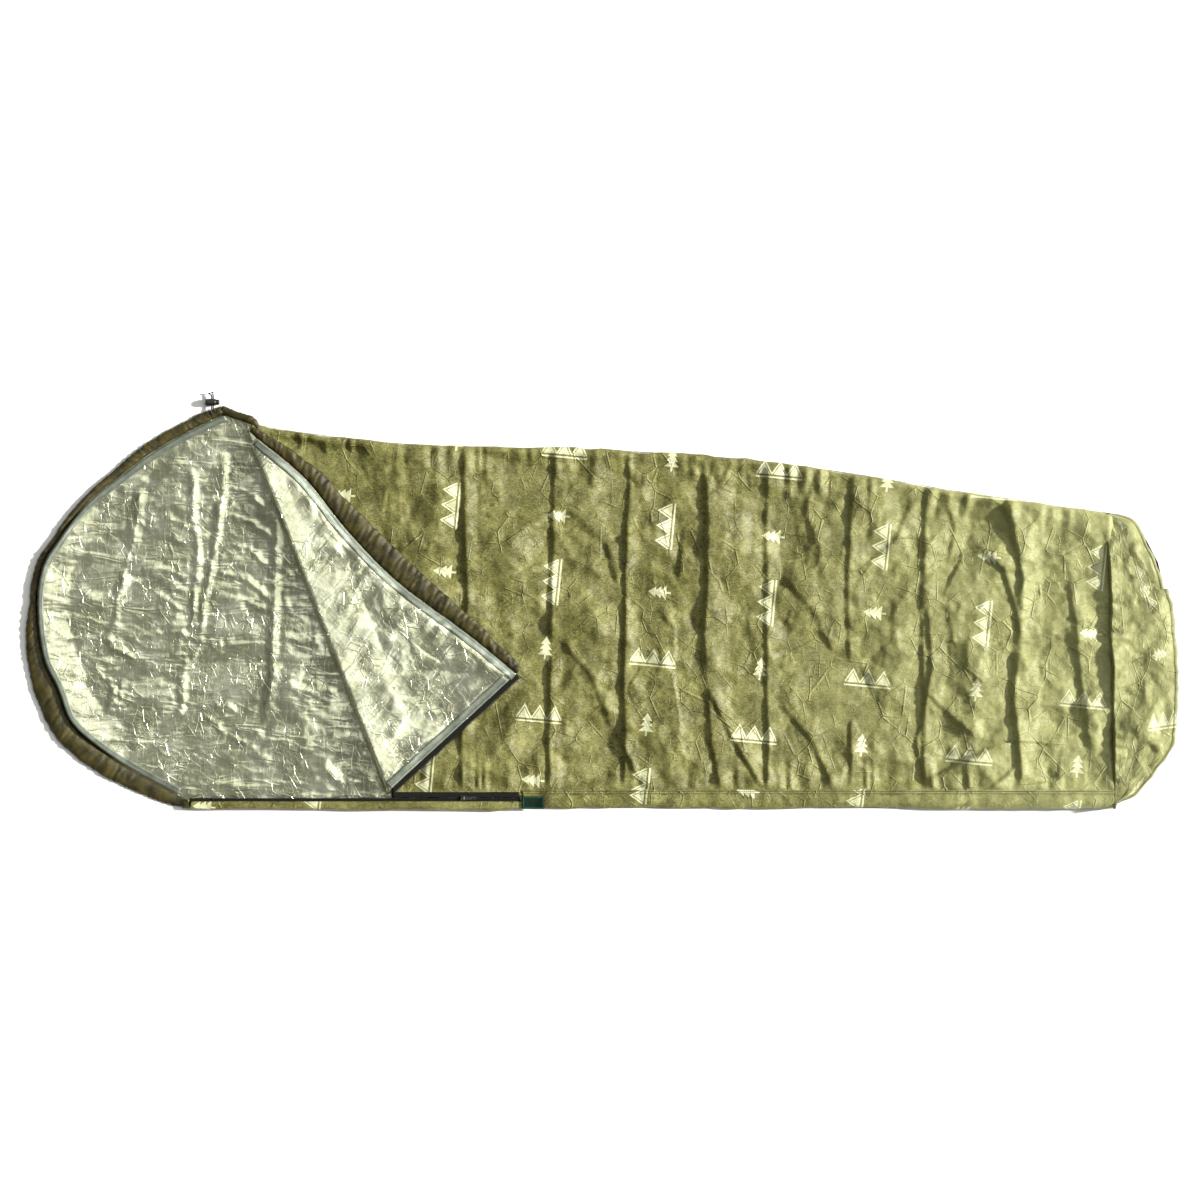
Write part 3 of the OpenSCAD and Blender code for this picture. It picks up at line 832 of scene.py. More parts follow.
def stitch_row(path, pitch=4 * MM, share=0.72, radius=0.45 * MM):
    """Raised stitches along a path on a surface."""
    path = np.asarray(path, float)
    far = length_along(path)
    parts = []
    for start in np.arange(pitch / 2, far[-1] - pitch, pitch):
        at = start + np.linspace(0, share * pitch, 4)
        points = np.stack([np.interp(at, far, path[:, k]) for k in range(3)], 1)
        points[[0, -1], 2] -= 0.6 * radius
        parts.append(tube(points, np.array([0.35, 1, 1, 0.35]) * radius, 5))
    return parts


# ---------------------------------------------------------------- back sheet

# Creases of the lining over the hood, in mm: line, width, height
HOOD_CREASES = [
    ([(-853, 227), (-858, 177), (-873, 112), (-891, 42), (-903, -23), (-918, -58)], 15, 4.5),
    ([(-918, -58), (-908, -79), (-858, -108)], 11, 3.5),
    ([(-761, 257), (-758, 162), (-751, 102), (-758, 2), (-758, -38), (-778, -48), (-788, -88)], 11, 3.6),
    ([(-700, 283), (-703, 202), (-711, 152), (-725, 77), (-738, 2), (-748, -79)], 12, 4.2),
    ([(-748, -79), (-773, -119), (-783, -229)], 13, 3.6),
    ([(-605, 162), (-605, 82), (-608, -13), (-613, -79), (-610, -123), (-620, -188), (-633, -229)], 14, 4.5),
    ([(-640, 288), (-618, 220), (-605, 162)], 14, 3.5),
    ([(-633, -229), (-655, -262), (-620, -300)], 14, 3.5),
    ([(-655, -262), (-700, -240), (-740, -205)], 13, 3.2),
    ([(-520, -300), (-477, -337), (-430, -330)], 14, 3.5),
    ([(-940, -120), (-905, -160), (-870, -175)], 14, 3.5),
    ([(-905, -160), (-915, -200)], 10, 3.0),
    ([(-700, 215), (-660, 207), (-622, 175)], 9, 2.8),
    ([(-693, 165), (-650, 152), (-610, 120)], 9, 2.8),
    ([(-705, 110), (-655, 102), (-612, 62)], 9, 2.8),
    ([(-715, 60), (-660, 47), (-612, 2)], 9, 3.0),
    ([(-725, 12), (-670, 10), (-618, -14)], 9, 2.8),
    ([(-872, 62), (-820, 68), (-765, 42)], 9, 2.8),
    ([(-880, 2), (-830, 20), (-780, -10)], 10, 3.0),
    ([(-850, 150), (-805, 160), (-765, 140)], 9, 2.4),
    ([(-840, -60), (-790, -52), (-740, -70), (-660, -78)], 10, 2.8),
    ([(-760, -140), (-710, -190), (-650, -200)], 12, 3.0),
    ([(-590, 60), (-555, 52), (-525, 55)], 10, 2.8),
    ([(-590, -60), (-545, -72), (-490, -66)], 11, 2.8),
    ([(-590, -150), (-530, -165), (-450, -160)], 12, 2.8),
]


def waves(x, y, size, salt, stretch=3.5):
    """Curved wrinkles with sharp crests that run mostly along X, from 0 to 1."""
    bent = y + 1.1 * size * noise(x, y, 5 * size, salt) + 0.25 * size * noise(x, y, size, salt + 1)
    return 1 - np.abs(noise(x / stretch, bent, size, salt + 2))


def back_height(x, y):
    """Height of the lining's upper side over the hood."""
    edge, _ = from_line(x, y, np.concatenate([BACK, BACK[:1]]))
    edge = np.abs(edge)
    calm = ramp(edge, 2 * MM, 24 * MM)
    h = 6.5 * MM * waves(x, y, 66 * MM, 3) + 2.4 * MM * waves(x, y, 31 * MM, 6)
    h += 1.3 * MM * waves(x, y, 14 * MM, 9, 2.5) + 0.10 * crumple(x, y, 70 * MM, 12)
    h += 3 * MM * noise(x, y, 190 * MM, 15)
    near_crease = np.zeros(np.shape(x))
    for line, width, height in HOOD_CREASES:
        h += ridge(x, y, line, width, width, height)
        near_crease = np.maximum(near_crease, ridge(x, y, line, 3 * width, 3 * width, 1) / MM)
    h += (0.22 * crumple(x, y, 22 * MM, 18) + 0.25 * crumple(x, y, 11 * MM, 19)) * near_crease
    h = 0.85 * (h - 3 * MM)
    tall = 12.5 * MM
    rim = tall * ramp(-x, 0.86, 0.98) * ramp(0.19 - y, 0, 60 * MM)
    rim = rim * np.clip(1 - (edge - 5 * MM) / (58 * MM), 0, 1) * ramp(edge, 0, 5 * MM)
    wrinkled = calm * (h - 1.6 * MM) * (1 - 0.5 * rim / tall)
    return np.clip(1.6 * MM + wrinkled + rim, 1.2 * MM, 18 * MM)


def back_sheet():
    """The one sheet under the sleeper, reflective side up."""
    left, right = BACK[:, 0].min(), BACK[:, 0].max()
    hood_end = fold_x(EDGE_Y) + 60 * MM
    rows, hood_cols, hidden_cols = 232, 244, 39
    x = np.concatenate([np.linspace(left + 0.4 * MM, hood_end, hood_cols),
                        np.linspace(hood_end, right - 1 * MM, hidden_cols + 1)[1:]])
    low, high = reach(BACK, x)
    s = np.linspace(0, 1, rows)[:, None]
    px = np.broadcast_to(x, (rows, len(x)))
    py = low + (high - low) * s
    past_fold = (px - fold_x(py)) * ALONG[1]
    open_part = 1 - ramp(past_fold, -12 * MM, 34 * MM)
    pz = 1.4 * MM + open_part * (back_height(px, py) - 1.4 * MM)
    top = np.stack([px, py, pz], 2)
    obj = closed_sheet("back_sheet", top, top[:, :, :2], [LINING, SHELL], step=3)
    flatten(obj, "sack")
    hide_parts("back_panel")
    return obj


# ---------------------------------------------------------------- front sheet

# Height of the front sheet above its seams along the sack, in mm: x and height
SWELLS = [(-660, 0), (-400, -1), (-262, -2), (-254, 4), (-232, 0), (-150, 1), (-99, -2), (-91, 4), (-68, 1),
          (-20, 2), (40, -2), (48, 4.5), (72, 1), (130, 2), (190, 0), (262, 3),
          (301, -2), (309, 4.5), (336, 1), (400, 2), (455, -2), (462, 4), (490, 1), (545, 2), (592, -2),
          (600, 4), (640, 1), (705, 3), (790, 2), (860, 1), (905, 0), (940, 4), (968, 7)]


def panel_base(x):
    """Height of the front panel's outer face in the CAD."""
    low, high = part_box("front_panel")
    rise = high.z - (low.z + 2 * MM)
    return low.z + 2 * MM + rise * np.clip((x - 0.42) / (FOOT_X - 0.42), 0, 1)


def settle(obj, body, slot, *nodes):
    """Rides a piece on its body, and hides the CAD nodes it stands for."""
    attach(obj, body)
    if nodes:
        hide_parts(*nodes)
    return obj


def flatten(obj, body):
    """Lets a soft piece ride on its body, on a mesh of its own."""
    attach(obj, body)
    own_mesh(obj)


def flap_cover(x, y):
    """1 where the open flap lies on the front panel, with a soft edge."""
    cx, cy = turned(x, y)
    loop = outline_closed()
    edge, _ = from_line(cx, cy, loop)
    low, high = reach(loop, np.clip(cy.ravel(), loop[:, 1].min(), loop[:, 1].max()), 1)
    inside = ((cx.ravel() > low) & (cx.ravel() < high)).reshape(cx.shape)
    return np.where(inside, 1.0, 1 - ramp(np.abs(edge), 30 * MM, 75 * MM))


def outline_closed():
    """Outline of the flap as it lies when closed."""
    x, y = turned(FLAP[:, 0], FLAP[:, 1])
    loop = np.stack([x, y], 1)
    return np.concatenate([loop, loop[:1]])


def front_height(x, y):
    """Height of the front panel's upper side."""
    swells = np.array(SWELLS) * MM
    lean = 7 * MM * noise(x, y, 260 * MM, 31) + 1.8 * MM * noise(x, y, 50 * MM, 32)
    h = np.interp(x + lean, swells[:, 0], swells[:, 1]) * (1.0 + 0.45 * noise(x, y, 240 * MM, 34))
    h += 0.22 * crumple(x, y, 150 * MM, 41) + 0.20 * crumple(x, y, 66 * MM, 43)
    h += 0.15 * crumple(x, y, 30 * MM, 47) + 0.10 * crumple(x, y, 15 * MM, 49)
    h += 3 * MM * noise(x, y, 200 * MM, 51) + 2.5 * MM * noise(x, y, 75 * MM, 53)
    for line, right, left, height in FRONT_CREASES:
        h += ridge(x, y, line, left, right, height)
    _, far = reach(FRONT, np.clip(np.ravel(x), FRONT[:, 0].min(), FRONT[:, 0].max()))
    edge = np.minimum(y - EDGE_Y, far.reshape(x.shape) - y)
    edge = np.minimum(edge, (x - fold_x(y)) * ALONG[1])
    calm = ramp(edge, -2 * MM, 26 * MM)
    fan = fold_wave(x / (43 * MM) + 0.9 * noise(x, 0.35 * y, 90 * MM, 61) + 0.5 * drift(x, 30 * MM, 63))
    depth = 4 * MM + 3 * MM * drift(x, 50 * MM, 65)
    puckers = depth * fan * ramp(edge, 0, 10 * MM) * (1 - ramp(edge, 14 * MM, 80 * MM))
    dip = 9 * MM * ramp(x, FOOT_X - 8 * MM, FOOT_X + 6 * MM) * ramp(y - EDGE_Y, 0, 40 * MM)
    top = panel_base(x) - 1 * MM + calm * h + puckers - dip
    covered = flap_cover(x, y)
    room = panel_base(x) + 0.3 * MM - 0.35 * np.maximum(panel_base(x) + 2 * MM - top, 0)
    top = np.where(covered > 0, top * (1 - covered) + covered * np.minimum(top, room), top)
    return np.maximum(top, 4 * MM)


# Folds of the front panel, in mm: line, widths on its right and left, height
FRONT_CREASES = [
    ([(188, 290), (197, 200), (196, 60), (192, -60), (197, -150)], 10, 44, 8.5),
    ([(197, -150), (236, -236), (305, -352)], 9, 34, 7.0),
    ([(197, -150), (202, -250), (222, -352)], 8, 26, 5.0),
    ([(250, 270), (222, 215), (197, 190)], 8, 28, 5.0),
    ([(215, 280), (206, 240), (197, 210)], 7, 20, 4.0),
    ([(739, 200), (762, 147), (778, 48), (773, -75)], 11, 40, 9.0),
    ([(712, 94), (744, 65), (764, 0), (773, -75)], 9, 30, 7.0),
    ([(773, -75), (764, -141), (766, -223), (775, -300), (772, -350)], 12, 44, 10.0),
    ([(600, -330), (702, -282), (762, -254)], 26, 7, 5.5),
    ([(690, -358), (722, -340), (774, -292)], 22, 6, 5.0),
    ([(866, 60), (885, -120), (905, -290)], 10, 44, 6.0),
    ([(30, -240), (60, -300), (80, -345)], 8, 30, 5.0),
    ([(600, 30), (612, -120), (585, -250), (600, -345)], 8, 32, 6.0),
    ([(575, 190), (545, 120), (480, 60)], 8, 30, 5.0),
    ([(600, -160), (655, -215), (700, -250)], 8, 34, 5.0),
    ([(-190, 90), (-150, 60), (-100, 75)], 20, 8, 4.0),
    ([(-232, 20), (-225, -60), (-240, -110)], 8, 30, 4.0),
    ([(-60, 180), (10, 110), (35, 20)], 10, 40, 4.0),
    ([(330, 60), (400, -20), (440, -120)], 10, 44, 4.0),
    ([(-80, -60), (-20, -130), (20, -230)], 8, 36, 4.0),
    ([(330, -180), (390, -250), (430, -345)], 9, 34, 5.0),
    ([(395, 240), (380, 170), (400, 110)], 8, 30, 4.0),
    ([(640, 205), (655, 140), (640, 70)], 8, 30, 4.0),
]


def front_sheet():
    """Front panel: one sheet from the fold line to the foot, rolled under along the far side."""
    rows, cols, wrap = 184, 442, 9
    u = np.linspace(0, 1, cols)
    near_start, far_start = fold_x(EDGE_Y) + 9 * MM, fold_x(FOLD_FAR_Y) + 9.5 * MM
    near_x = near_start + u * (FOOT_X + 7 * MM - near_start)
    far_x = far_start + u * (FOOT_X - far_start)
    inside = np.clip(far_x, FRONT[:, 0].min() + 0.1 * MM, FRONT[:, 0].max() - 0.1 * MM)
    _, far_y = reach(FRONT, inside)
    far_y = far_y + 3 * MM * drift(far_x, 75 * MM, 73) + 1.5 * MM * drift(far_x, 27 * MM, 75)
    roll = 8 * MM
    s = np.linspace(0, 1, rows)[:, None]
    px = near_x * (1 - s) + far_x * s
    py = (EDGE_Y - 6.5 * MM) * (1 - s) + (far_y - roll) * s
    pz = front_height(px, py)
    top = np.stack([px, py, pz], 2)
    edge = top[-1]
    half = (edge[:, 2] - 2.4 * MM) / 2
    rolled = []
    for k in range(1, wrap + 1):
        a = math.pi / 2 * k / wrap * 1.9
        wobble = 1 + 0.12 * drift(edge[:, 0], 22 * MM, 71)
        rolled.append(np.stack([edge[:, 0], edge[:, 1] + roll * math.sin(a) * wobble,
                                edge[:, 2] - half * (1 - math.cos(a))], 1))
    top = np.concatenate([top, np.array(rolled)])
    cut = top[:, :, :2].copy()
    cut[rows:, :, 1] = cut[rows - 1, :, 1] + np.linspace(3, 20, wrap)[:, None] * MM
    obj = closed_sheet("front_sheet", top, cut, [SHELL, LINING], step=3)
    return settle(obj, "sack", "shell", "front_panel", "far_side_fold")


def cut_along(x, run):
    """Flat cut of a strip along X, from how far its rows lie across it."""
    return np.stack(np.meshgrid(x, CUT_Y + run), 2)


def stitch_side_seam(x, seam):
    """Two rows of black stitches on the near strip; the bolder, nearly unbroken one along its edge is also a
    painted shade line along the seam.
    """
    rows = []
    for y, lift in ((0.5, 0.75), (-3.5, 0.25)):
        row = np.stack([x, np.full(len(x), EDGE_Y + y * MM), seam + lift * MM], 1)
        rows.append(smooth(row, 1)[1:-1])
    # The edge row's near-continuous dark stitches stand in for the shadow along the seam: painted shade as
    # well as thread.
    parts = stitch_row(rows[0], share=0.86, radius=0.6 * MM) + stitch_row(rows[1])
    settle(joined("side_seam_stitches", parts, [BLACK_THREAD]), "sack", "thread")


def near_strip(front):
    """Strip of the back fabric that turns up the near side and is sewn on the front."""
    tree = surface_of(front)
    start = ZIP_END + 3 * MM
    x = np.arange(start, FOOT_X + 9 * MM, 5 * MM)
    seam = height_on(tree, x, np.full(len(x), EDGE_Y + 2.5 * MM), panel_base(x).mean()) + 1.2 * MM
    seam = smooth(seam[:, None], 1)[:, 0]
    wave = 1.6 * MM * drift(x, 30 * MM, 81)
    pleat = 2.2 * MM * fold_wave(x / (34 * MM) + 0.8 * drift(x, 70 * MM, 83))
    low = 1.0 * MM
    sway = 3 * MM * drift(x, 85 * MM, 85) + 1.2 * MM * drift(x, 30 * MM, 87)
    sway = sway * ramp(FOOT_X - x, -9 * MM, 50 * MM)
    profile = [
        (EDGE_Y + 3 * MM + wave, seam),
        (EDGE_Y - 1 * MM + wave, seam + 0.6 * MM),
        (EDGE_Y - 5 * MM, seam - 1.2 * MM + 0.4 * pleat),
        (EDGE_Y - 12 * MM, seam - 2.6 * MM + pleat),
        (EDGE_Y - 20 * MM, seam - 3.4 * MM + 0.9 * pleat),
        (EDGE_Y - 26 * MM, seam - 5.5 * MM + 0.5 * pleat),
        (NEAR_Y + 1.5 * MM + sway, (seam - 6 * MM) * 0.7 + 2 * MM),
        (NEAR_Y + 0.3 * MM + sway, (seam - 6 * MM) * 0.4 + 1.5 * MM),
        (NEAR_Y + 2 * MM + sway, x * 0 + low),
    ]
    top = np.stack([np.stack([x, y + 0 * x, z], 1) for y, z in profile[::-1]])
    run = length_along(np.array([(np.mean(y), np.mean(z)) for y, z in profile[::-1]]))
    cut = cut_along(x, run)
    obj = closed_sheet("near_strip", top, cut, [SHELL, LINING], 0.6 * MM)
    settle(obj, "sack", "shell", "near_side_wall", "side_seam")
    stitch_side_seam(x, seam)
    return obj


def zip_wall():
    """Low wall of back fabric that carries the zip's near tape."""
    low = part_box("zip_tape_back")[0]
    x = np.arange(low.x - 14 * MM, ZIP_END + 9 * MM, 5 * MM)
    lean = 1.2 * MM * drift(x, 45 * MM, 91)
    drop = ramp(x, low.x - 14 * MM, low.x + 4 * MM)
    sway = 3.5 * MM * (1 + drift(x, 90 * MM, 93)) * ramp(np.minimum(x - x[0], x[-1] - x), 0, 60 * MM)
    crest = 3 * MM + (ZIP_Z - 3 * MM) * drop
    top = []
    for t in np.linspace(0, 1, 7):
        bulge = math.sin(math.pi * t)
        y = NEAR_Y + 0.6 * MM + (0.4 * lean - sway) * bulge
        top.append(np.stack([x, y, 1 * MM + (crest - 0.5 * MM) * t], 1))
    for inward, lift in ((1.5, 0.9), (5, 1.0), (9.5, 1.1), (13.5, 0.8)):
        top.append(np.stack([x, NEAR_Y + inward * MM + 0.3 * lean, crest + lift * MM + 0.4 * lean], 1))
    top = np.stack(top)
    run = length_along(top[:, 30, 1:])
    cut = cut_along(x, run)
    obj = closed_sheet("zip_wall", top, cut, [SHELL, LINING], 0.6 * MM)
    return settle(obj, "sack", "shell", "near_side_wall")


# ---------------------------------------------------------------- boxed foot

FOOT_COUNT = 190
FOOT_MIDDLE = np.array([FOOT_X, -0.11])
FOOT_PLEAT = 29 * MM


def foot_lines():
    """The foot's edge on the ground, its seam on the front, and the length along the edge."""
    line = BACK[BACK[:, 0] > FOOT_X - 0.2 * MM]
    angle = np.unwrap(np.arctan2(*(line - FOOT_MIDDLE).T[::-1]))
    line = smooth(even(line[np.argsort(-angle)], FOOT_COUNT), 10)
    seam_y = np.linspace(line[0, 1], line[-1, 1], FOOT_COUNT)
    slant = np.interp(seam_y, [-0.36, 0.16], [5 * MM, -11 * MM])
    seam_x = FOOT_X + slant + 2.5 * MM * drift(seam_y, 60 * MM, 103)
    far = length_along(line)
    outward = line - FOOT_MIDDLE
    outward /= np.linalg.norm(outward, axis=1, keepdims=True)
    ruck = 3.5 * MM * drift(far, 62 * MM, 105) + 1.5 * MM * drift(far, 24 * MM, 107)
    step = 9 * MM * ramp(line[:, 1], 30 * MM, 38 * MM) * (1 - ramp(line[:, 1], 38 * MM, 130 * MM))
    shift = ruck * ramp(np.minimum(far, far[-1] - far), 0, 60 * MM) - step
    return line + outward * shift[:, None], np.stack([seam_x, seam_y], 1), far


def foot_wall(line, seam, far, peak):
    """Rows of points up the foot's wall."""
    crease = fold_wave(far / (38 * MM) + 0.6 * drift(far, 80 * MM, 101))
    toward = seam - line
    size = np.maximum(np.hypot(*toward.T), 1e-6)
    rows, count = [], 14
    for k in range(count):
        t = k / count
        inset = (1.5 + 9 * t ** 3) * MM + 2.2 * MM * crease * math.sin(math.pi * t)
        shift = toward / size[:, None] * np.minimum(inset, 0.5 * size)[:, None]
        z = 1 * MM + (peak - 8 * MM) * (1 - (1 - t) ** 1.35)
        rows.append(np.concatenate([line + shift, z[:, None]], 1))
    return rows


def foot_top(rim, seam, peak, rise, tall):
    """Rows of points over the foot, from the rim of its wall to its seam on the front."""
    rows, count = [], 40
    for k in range(1, count + 1):
        t = k / count
        x, y = (rim[:, :2] * (1 - t) + seam * t).T
        soft = crumple(x, y, 70 * MM, 111) * 0.30 + crumple(x, y, 30 * MM, 113) * 0.22
        fan = fold_wave(seam[:, 1] / FOOT_PLEAT + 0.8 * noise(x, y, 40 * MM, 115))
        fan = fan * ramp(t, 0.45, 0.95) * 3.5 * MM
        z = rim[:, 2] + (peak - rim[:, 2]) * min(1.0, math.sin(math.pi / 2 * min(1, t * 3.2)))
        z = z + (soft + 5 * MM * noise(x, y, 55 * MM, 117)) * rise * ramp(t, 0.0, 0.25) * (1 - 0.5 * t)
        z = z + fan * rise - (3 * MM + 13 * MM * ramp(t, 0.2, 1.0)) * rise
        rows.append(np.stack([x, y, np.minimum(z, tall + 4 * MM)], 1))
    return rows


def foot_lip(edge, seam, landing):
    """Rows of points from the edge of the foot's top down to where it lands on the front."""
    rows, count = [], 8
    for k in range(1, count + 1):
        t = k / count
        pull = 0.75 * MM * math.sin(math.pi * t) * (0.4 + fold_wave(seam[:, 1] / FOOT_PLEAT))
        x = seam[:, 0] + pull - 3 * MM * math.sin(math.pi / 2 * t)
        z = edge[:, 2] * (1 - t) + landing * t
        rows.append(np.stack([x, edge[:, 1], np.minimum(z, edge[:, 2])], 1))
    return rows


def foot_cap(front):
    """Boxed foot, one gathered piece from the ground over the top to its seam on the front."""
    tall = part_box("foot_gusset")[1].z
    line, seam, far = foot_lines()
    seam_z = panel_base(np.array([FOOT_X]))[0]
    ends = np.minimum(np.linspace(0, 1, FOOT_COUNT), np.linspace(1, 0, FOOT_COUNT))
    rise = ramp(ends, 0, 0.16)
    peak = seam_z + (tall - 2 * MM - seam_z) * rise
    rows = foot_wall(line, seam, far, peak)
    rows += foot_top(rows[-1], seam, peak, rise, tall)
    edge = rows[-1]
    landing = height_on(surface_of(front), seam[:, 0] - 3 * MM, edge[:, 1], seam_z - 2 * MM) - 1 * MM
    top = np.array(rows + foot_lip(edge, seam, landing))
    if normals(top)[20:40, 60:120, 2].mean() < 0:
        top = top[:, ::-1]
    # The cut starts at 1.2 so the shell gives the foot cap its full painted light, and its wall rows painted
    # shade.
    run = np.linspace(0, 0.26, top.shape[0])[:, None]
    cut = np.stack([1.2 + run + 0 * top[:, :, 0], top[:, :, 1]], 2)
    obj = closed_sheet("foot_cap", top, cut, [SHELL, LINING], 0.6 * MM)
    nodes = ("foot_gusset", "foot_end_panel", "foot_front_seam", "foot_end_seam")
    return settle(obj, "sack", "shell_light", *nodes)


# ---------------------------------------------------------------- flap

def flap_height(cx, cy):
    """Height of the open flap's upper, reflective side, from its place when closed."""
    away = (fold_x(cy) - cx) * ALONG[1]
    edge, _ = from_line(cx, cy, outline_closed())
    edge = np.abs(edge)
    calm = ramp(edge, 3 * MM, 24 * MM)
    h = 3.6 * MM * waves(cx, cy, 58 * MM, 141, 2.5) + 1.5 * MM * waves(cx, cy, 27 * MM, 144, 2.5)
    h += 0.12 * crumple(cx, cy, 60 * MM, 147)
    h = h * ramp(away, 25 * MM, 80 * MM)
    ripple = fold_wave(cy / (44 * MM) + 0.7 * noise(cx, cy, 70 * MM, 145)) * 4.0 * MM
    near_edge = ramp(edge, 0, 14 * MM) * (1 - ramp(edge, 14 * MM, 90 * MM))
    ripple = ripple * near_edge * ramp(away, 30 * MM, 70 * MM)
    crest = 20 * MM + 3 * MM * drift(cy, 130 * MM, 149)
    past = away - 6 * MM
    slope = np.clip(1 - past / (80 * MM), 0, 1) * 0.55 + np.clip(1 - past / (200 * MM), 0, 1) * 0.45
    crest = crest * (0.55 + 0.45 * ramp(cy - EDGE_Y, -10 * MM, 80 * MM))
    turn = np.sqrt(np.clip((away + 5 * MM) / (7 * MM), 0, 1))
    roll = crest * slope * turn * ramp(FLAP_TIP_Y - cy, -10 * MM, 90 * MM)
    under = -2 * MM * (1 - ramp(away, -5 * MM, 2 * MM))
    return FLAP_LOW + 1.4 * MM + calm * np.clip(h + ripple, 0.2 * MM, 9 * MM) + roll + under


def flap_sheet():
    """Face flap, folded open with its reflective side up."""
    loop = outline_closed()
    low_y, high_y = EDGE_Y, loop[:, 1].max() - 2 * MM
    rows, cols = 262, 136
    cy = np.linspace(low_y, high_y, rows)
    head, _ = reach(loop, np.clip(cy, loop[:, 1].min() + 1e-5, None), 1)
    t = np.linspace(0, 1, cols)
    fold = fold_x(cy) + 5 * MM
    gx = fold[:, None] + (head - fold)[:, None] * t
    gy = np.broadcast_to(cy[:, None], gx.shape)
    x, y = turned(gx, gy)
    top = np.stack([x, y, flap_height(gx, gy)], 2)
    top, cut = face_up(top, np.stack([gx, gy], 2), 1)
    obj = closed_sheet("flap_sheet", top, cut, [LINING, SHELL], step=3)
    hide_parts("front_flap")
    flatten(obj, "flap")
    return obj


def fold_roll():
    """Narrow stretch of the sheet that turns round the flap's fold."""
    y = np.linspace(EDGE_Y, FOLD_FAR_Y - 4 * MM, 170)
    x = fold_x(y)
    rows = []
    ends = ramp(np.minimum(y - y[0], y[-1] - y), 0, 30 * MM)
    bulge = (3.2 * MM + 1.2 * MM * drift(y, 50 * MM, 151)) * (0.3 + 0.7 * ends)
    low, high = FRONT_TOP - 1.3 * MM, FLAP_LOW + 1.5 * MM
    middle = HINGE[2]
    for k in range(13):
        a = math.pi * k / 12
        tall = middle - low if a < math.pi / 2 else high - middle
        z = middle - tall * math.cos(a)
        side = 3.5 * MM * abs(math.cos(a)) - bulge * math.sin(a)
        rows.append(np.stack([x + side * ALONG[1], y - side * ALONG[0], np.full(len(y), z)], 1))
    top = np.array(rows)
    run = np.linspace(-8, 8, 13) * MM
    cut = np.stack(np.meshgrid(run, y / abs(ALONG[1]), indexing="ij"), 2)
    if normals(top)[6, 60:120, 0].mean() > 0:
        top, cut = top[:, ::-1], cut[:, ::-1]
    obj = closed_sheet("fold_roll", top, cut, [LINING, SHELL], 0.5 * MM)
    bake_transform(obj)
    return obj


# ---------------------------------------------------------------- channels and tapes

def band(name, inner, outer, low, high, salt, pitch, pleats=0.36):
    """Gathered tube of nylon sewn along an edge, pleated across."""
    count = int(length_along(inner)[-1] / (2.6 * MM))
    inner, outer = even(inner, count), even(outer, count)
    far = length_along((inner + outer) / 2)
    jitter = 0.9 * drift(far, 26 * MM, salt) + 0.5 * drift(far, 11 * MM, salt + 1)
    rings, uvs = [], []
    sides = 22
    wide = np.hypot(*(outer - inner).T)
    for k in range(sides):
        a = math.tau * k / sides
        b = 0.5 - 0.5 * math.cos(a)
        pleat = fold_wave(far / pitch + jitter + 0.35 * noise(far, far * 0 + b * wide, 16 * MM, salt + 2))
        fine = fold_wave(2.3 * far / pitch + 1.3 * jitter + b)
        wobble = (pleat - 0.5) * 1.8 * MM * b + 2.2 * MM * drift(far, 40 * MM, salt + 4) * b
        lean = (outer - inner) / wide[:, None]
        wobble = wobble * np.minimum(1, wide / (16 * MM))
        flat = inner * (1 - b) + outer * b + lean * wobble[:, None]
        arch = math.sin(a)
        if arch >= 0:
            body = low + (high - low) * arch ** 0.7
            soft = 0.5 + 0.5 * noise(far, far * 0 + b * wide, 60 * MM, salt + 6)
            z = body * (0.98 - 0.5 * pleats + pleats * pleat * soft + 0.08 * fine)
            z = low + (z - low) * (0.85 + 0.15 * ramp(wide, 8 * MM, 20 * MM))
        else:
            z = np.full(count, low + 0.35 * (high - low) * arch * 0.2)
        rings.append(np.stack([flat[:, 0], flat[:, 1], np.broadcast_to(z, count)], 1))
        uvs.append(np.stack([far, b * wide], 1))
    verts = np.stack(rings, 1).reshape(-1, 3)
    faces = ring_faces(count, sides)
    obj = add_object(name, verts, faces, [NYLON], np.stack(uvs, 1).reshape(-1, 2))
    fix_facing(obj)
    return obj


def fix_facing(obj):
    """Makes a closed mesh's faces point outward."""
    mesh = obj.data
    co = points_of(obj)
    volume = 0.0
    for p in mesh.polygons:
        a = co[p.vertices[0]]
        for k in range(1, len(p.vertices) - 1):
            volume += np.dot(a, np.cross(co[p.vertices[k]], co[p.vertices[k + 1]]))
    if volume < 0:
        mesh.flip_normals()


def hood_band():
    """Hood's drawcord channel, fuller round the crown."""
    inner, outer = from_far(HOOD_IN, HOOD_OUT)
    end = inner[-1] + np.array([20, -8]) * MM
    inner = np.concatenate([inner, [end]])
    outer = np.concatenate([outer, [end + np.array([-5, -13]) * MM]])
    obj = band("hood_band", inner, outer, 0.6 * MM, 6.2 * MM, 161, 21 * MM)
    co = points_of(obj)
    co[:, 2] *= 1 + 0.4 * ramp(-co[:, 0], 0.84, 0.97)
    move_points(obj, co)
    settle(obj, "sack", "channel", "hood_channel")


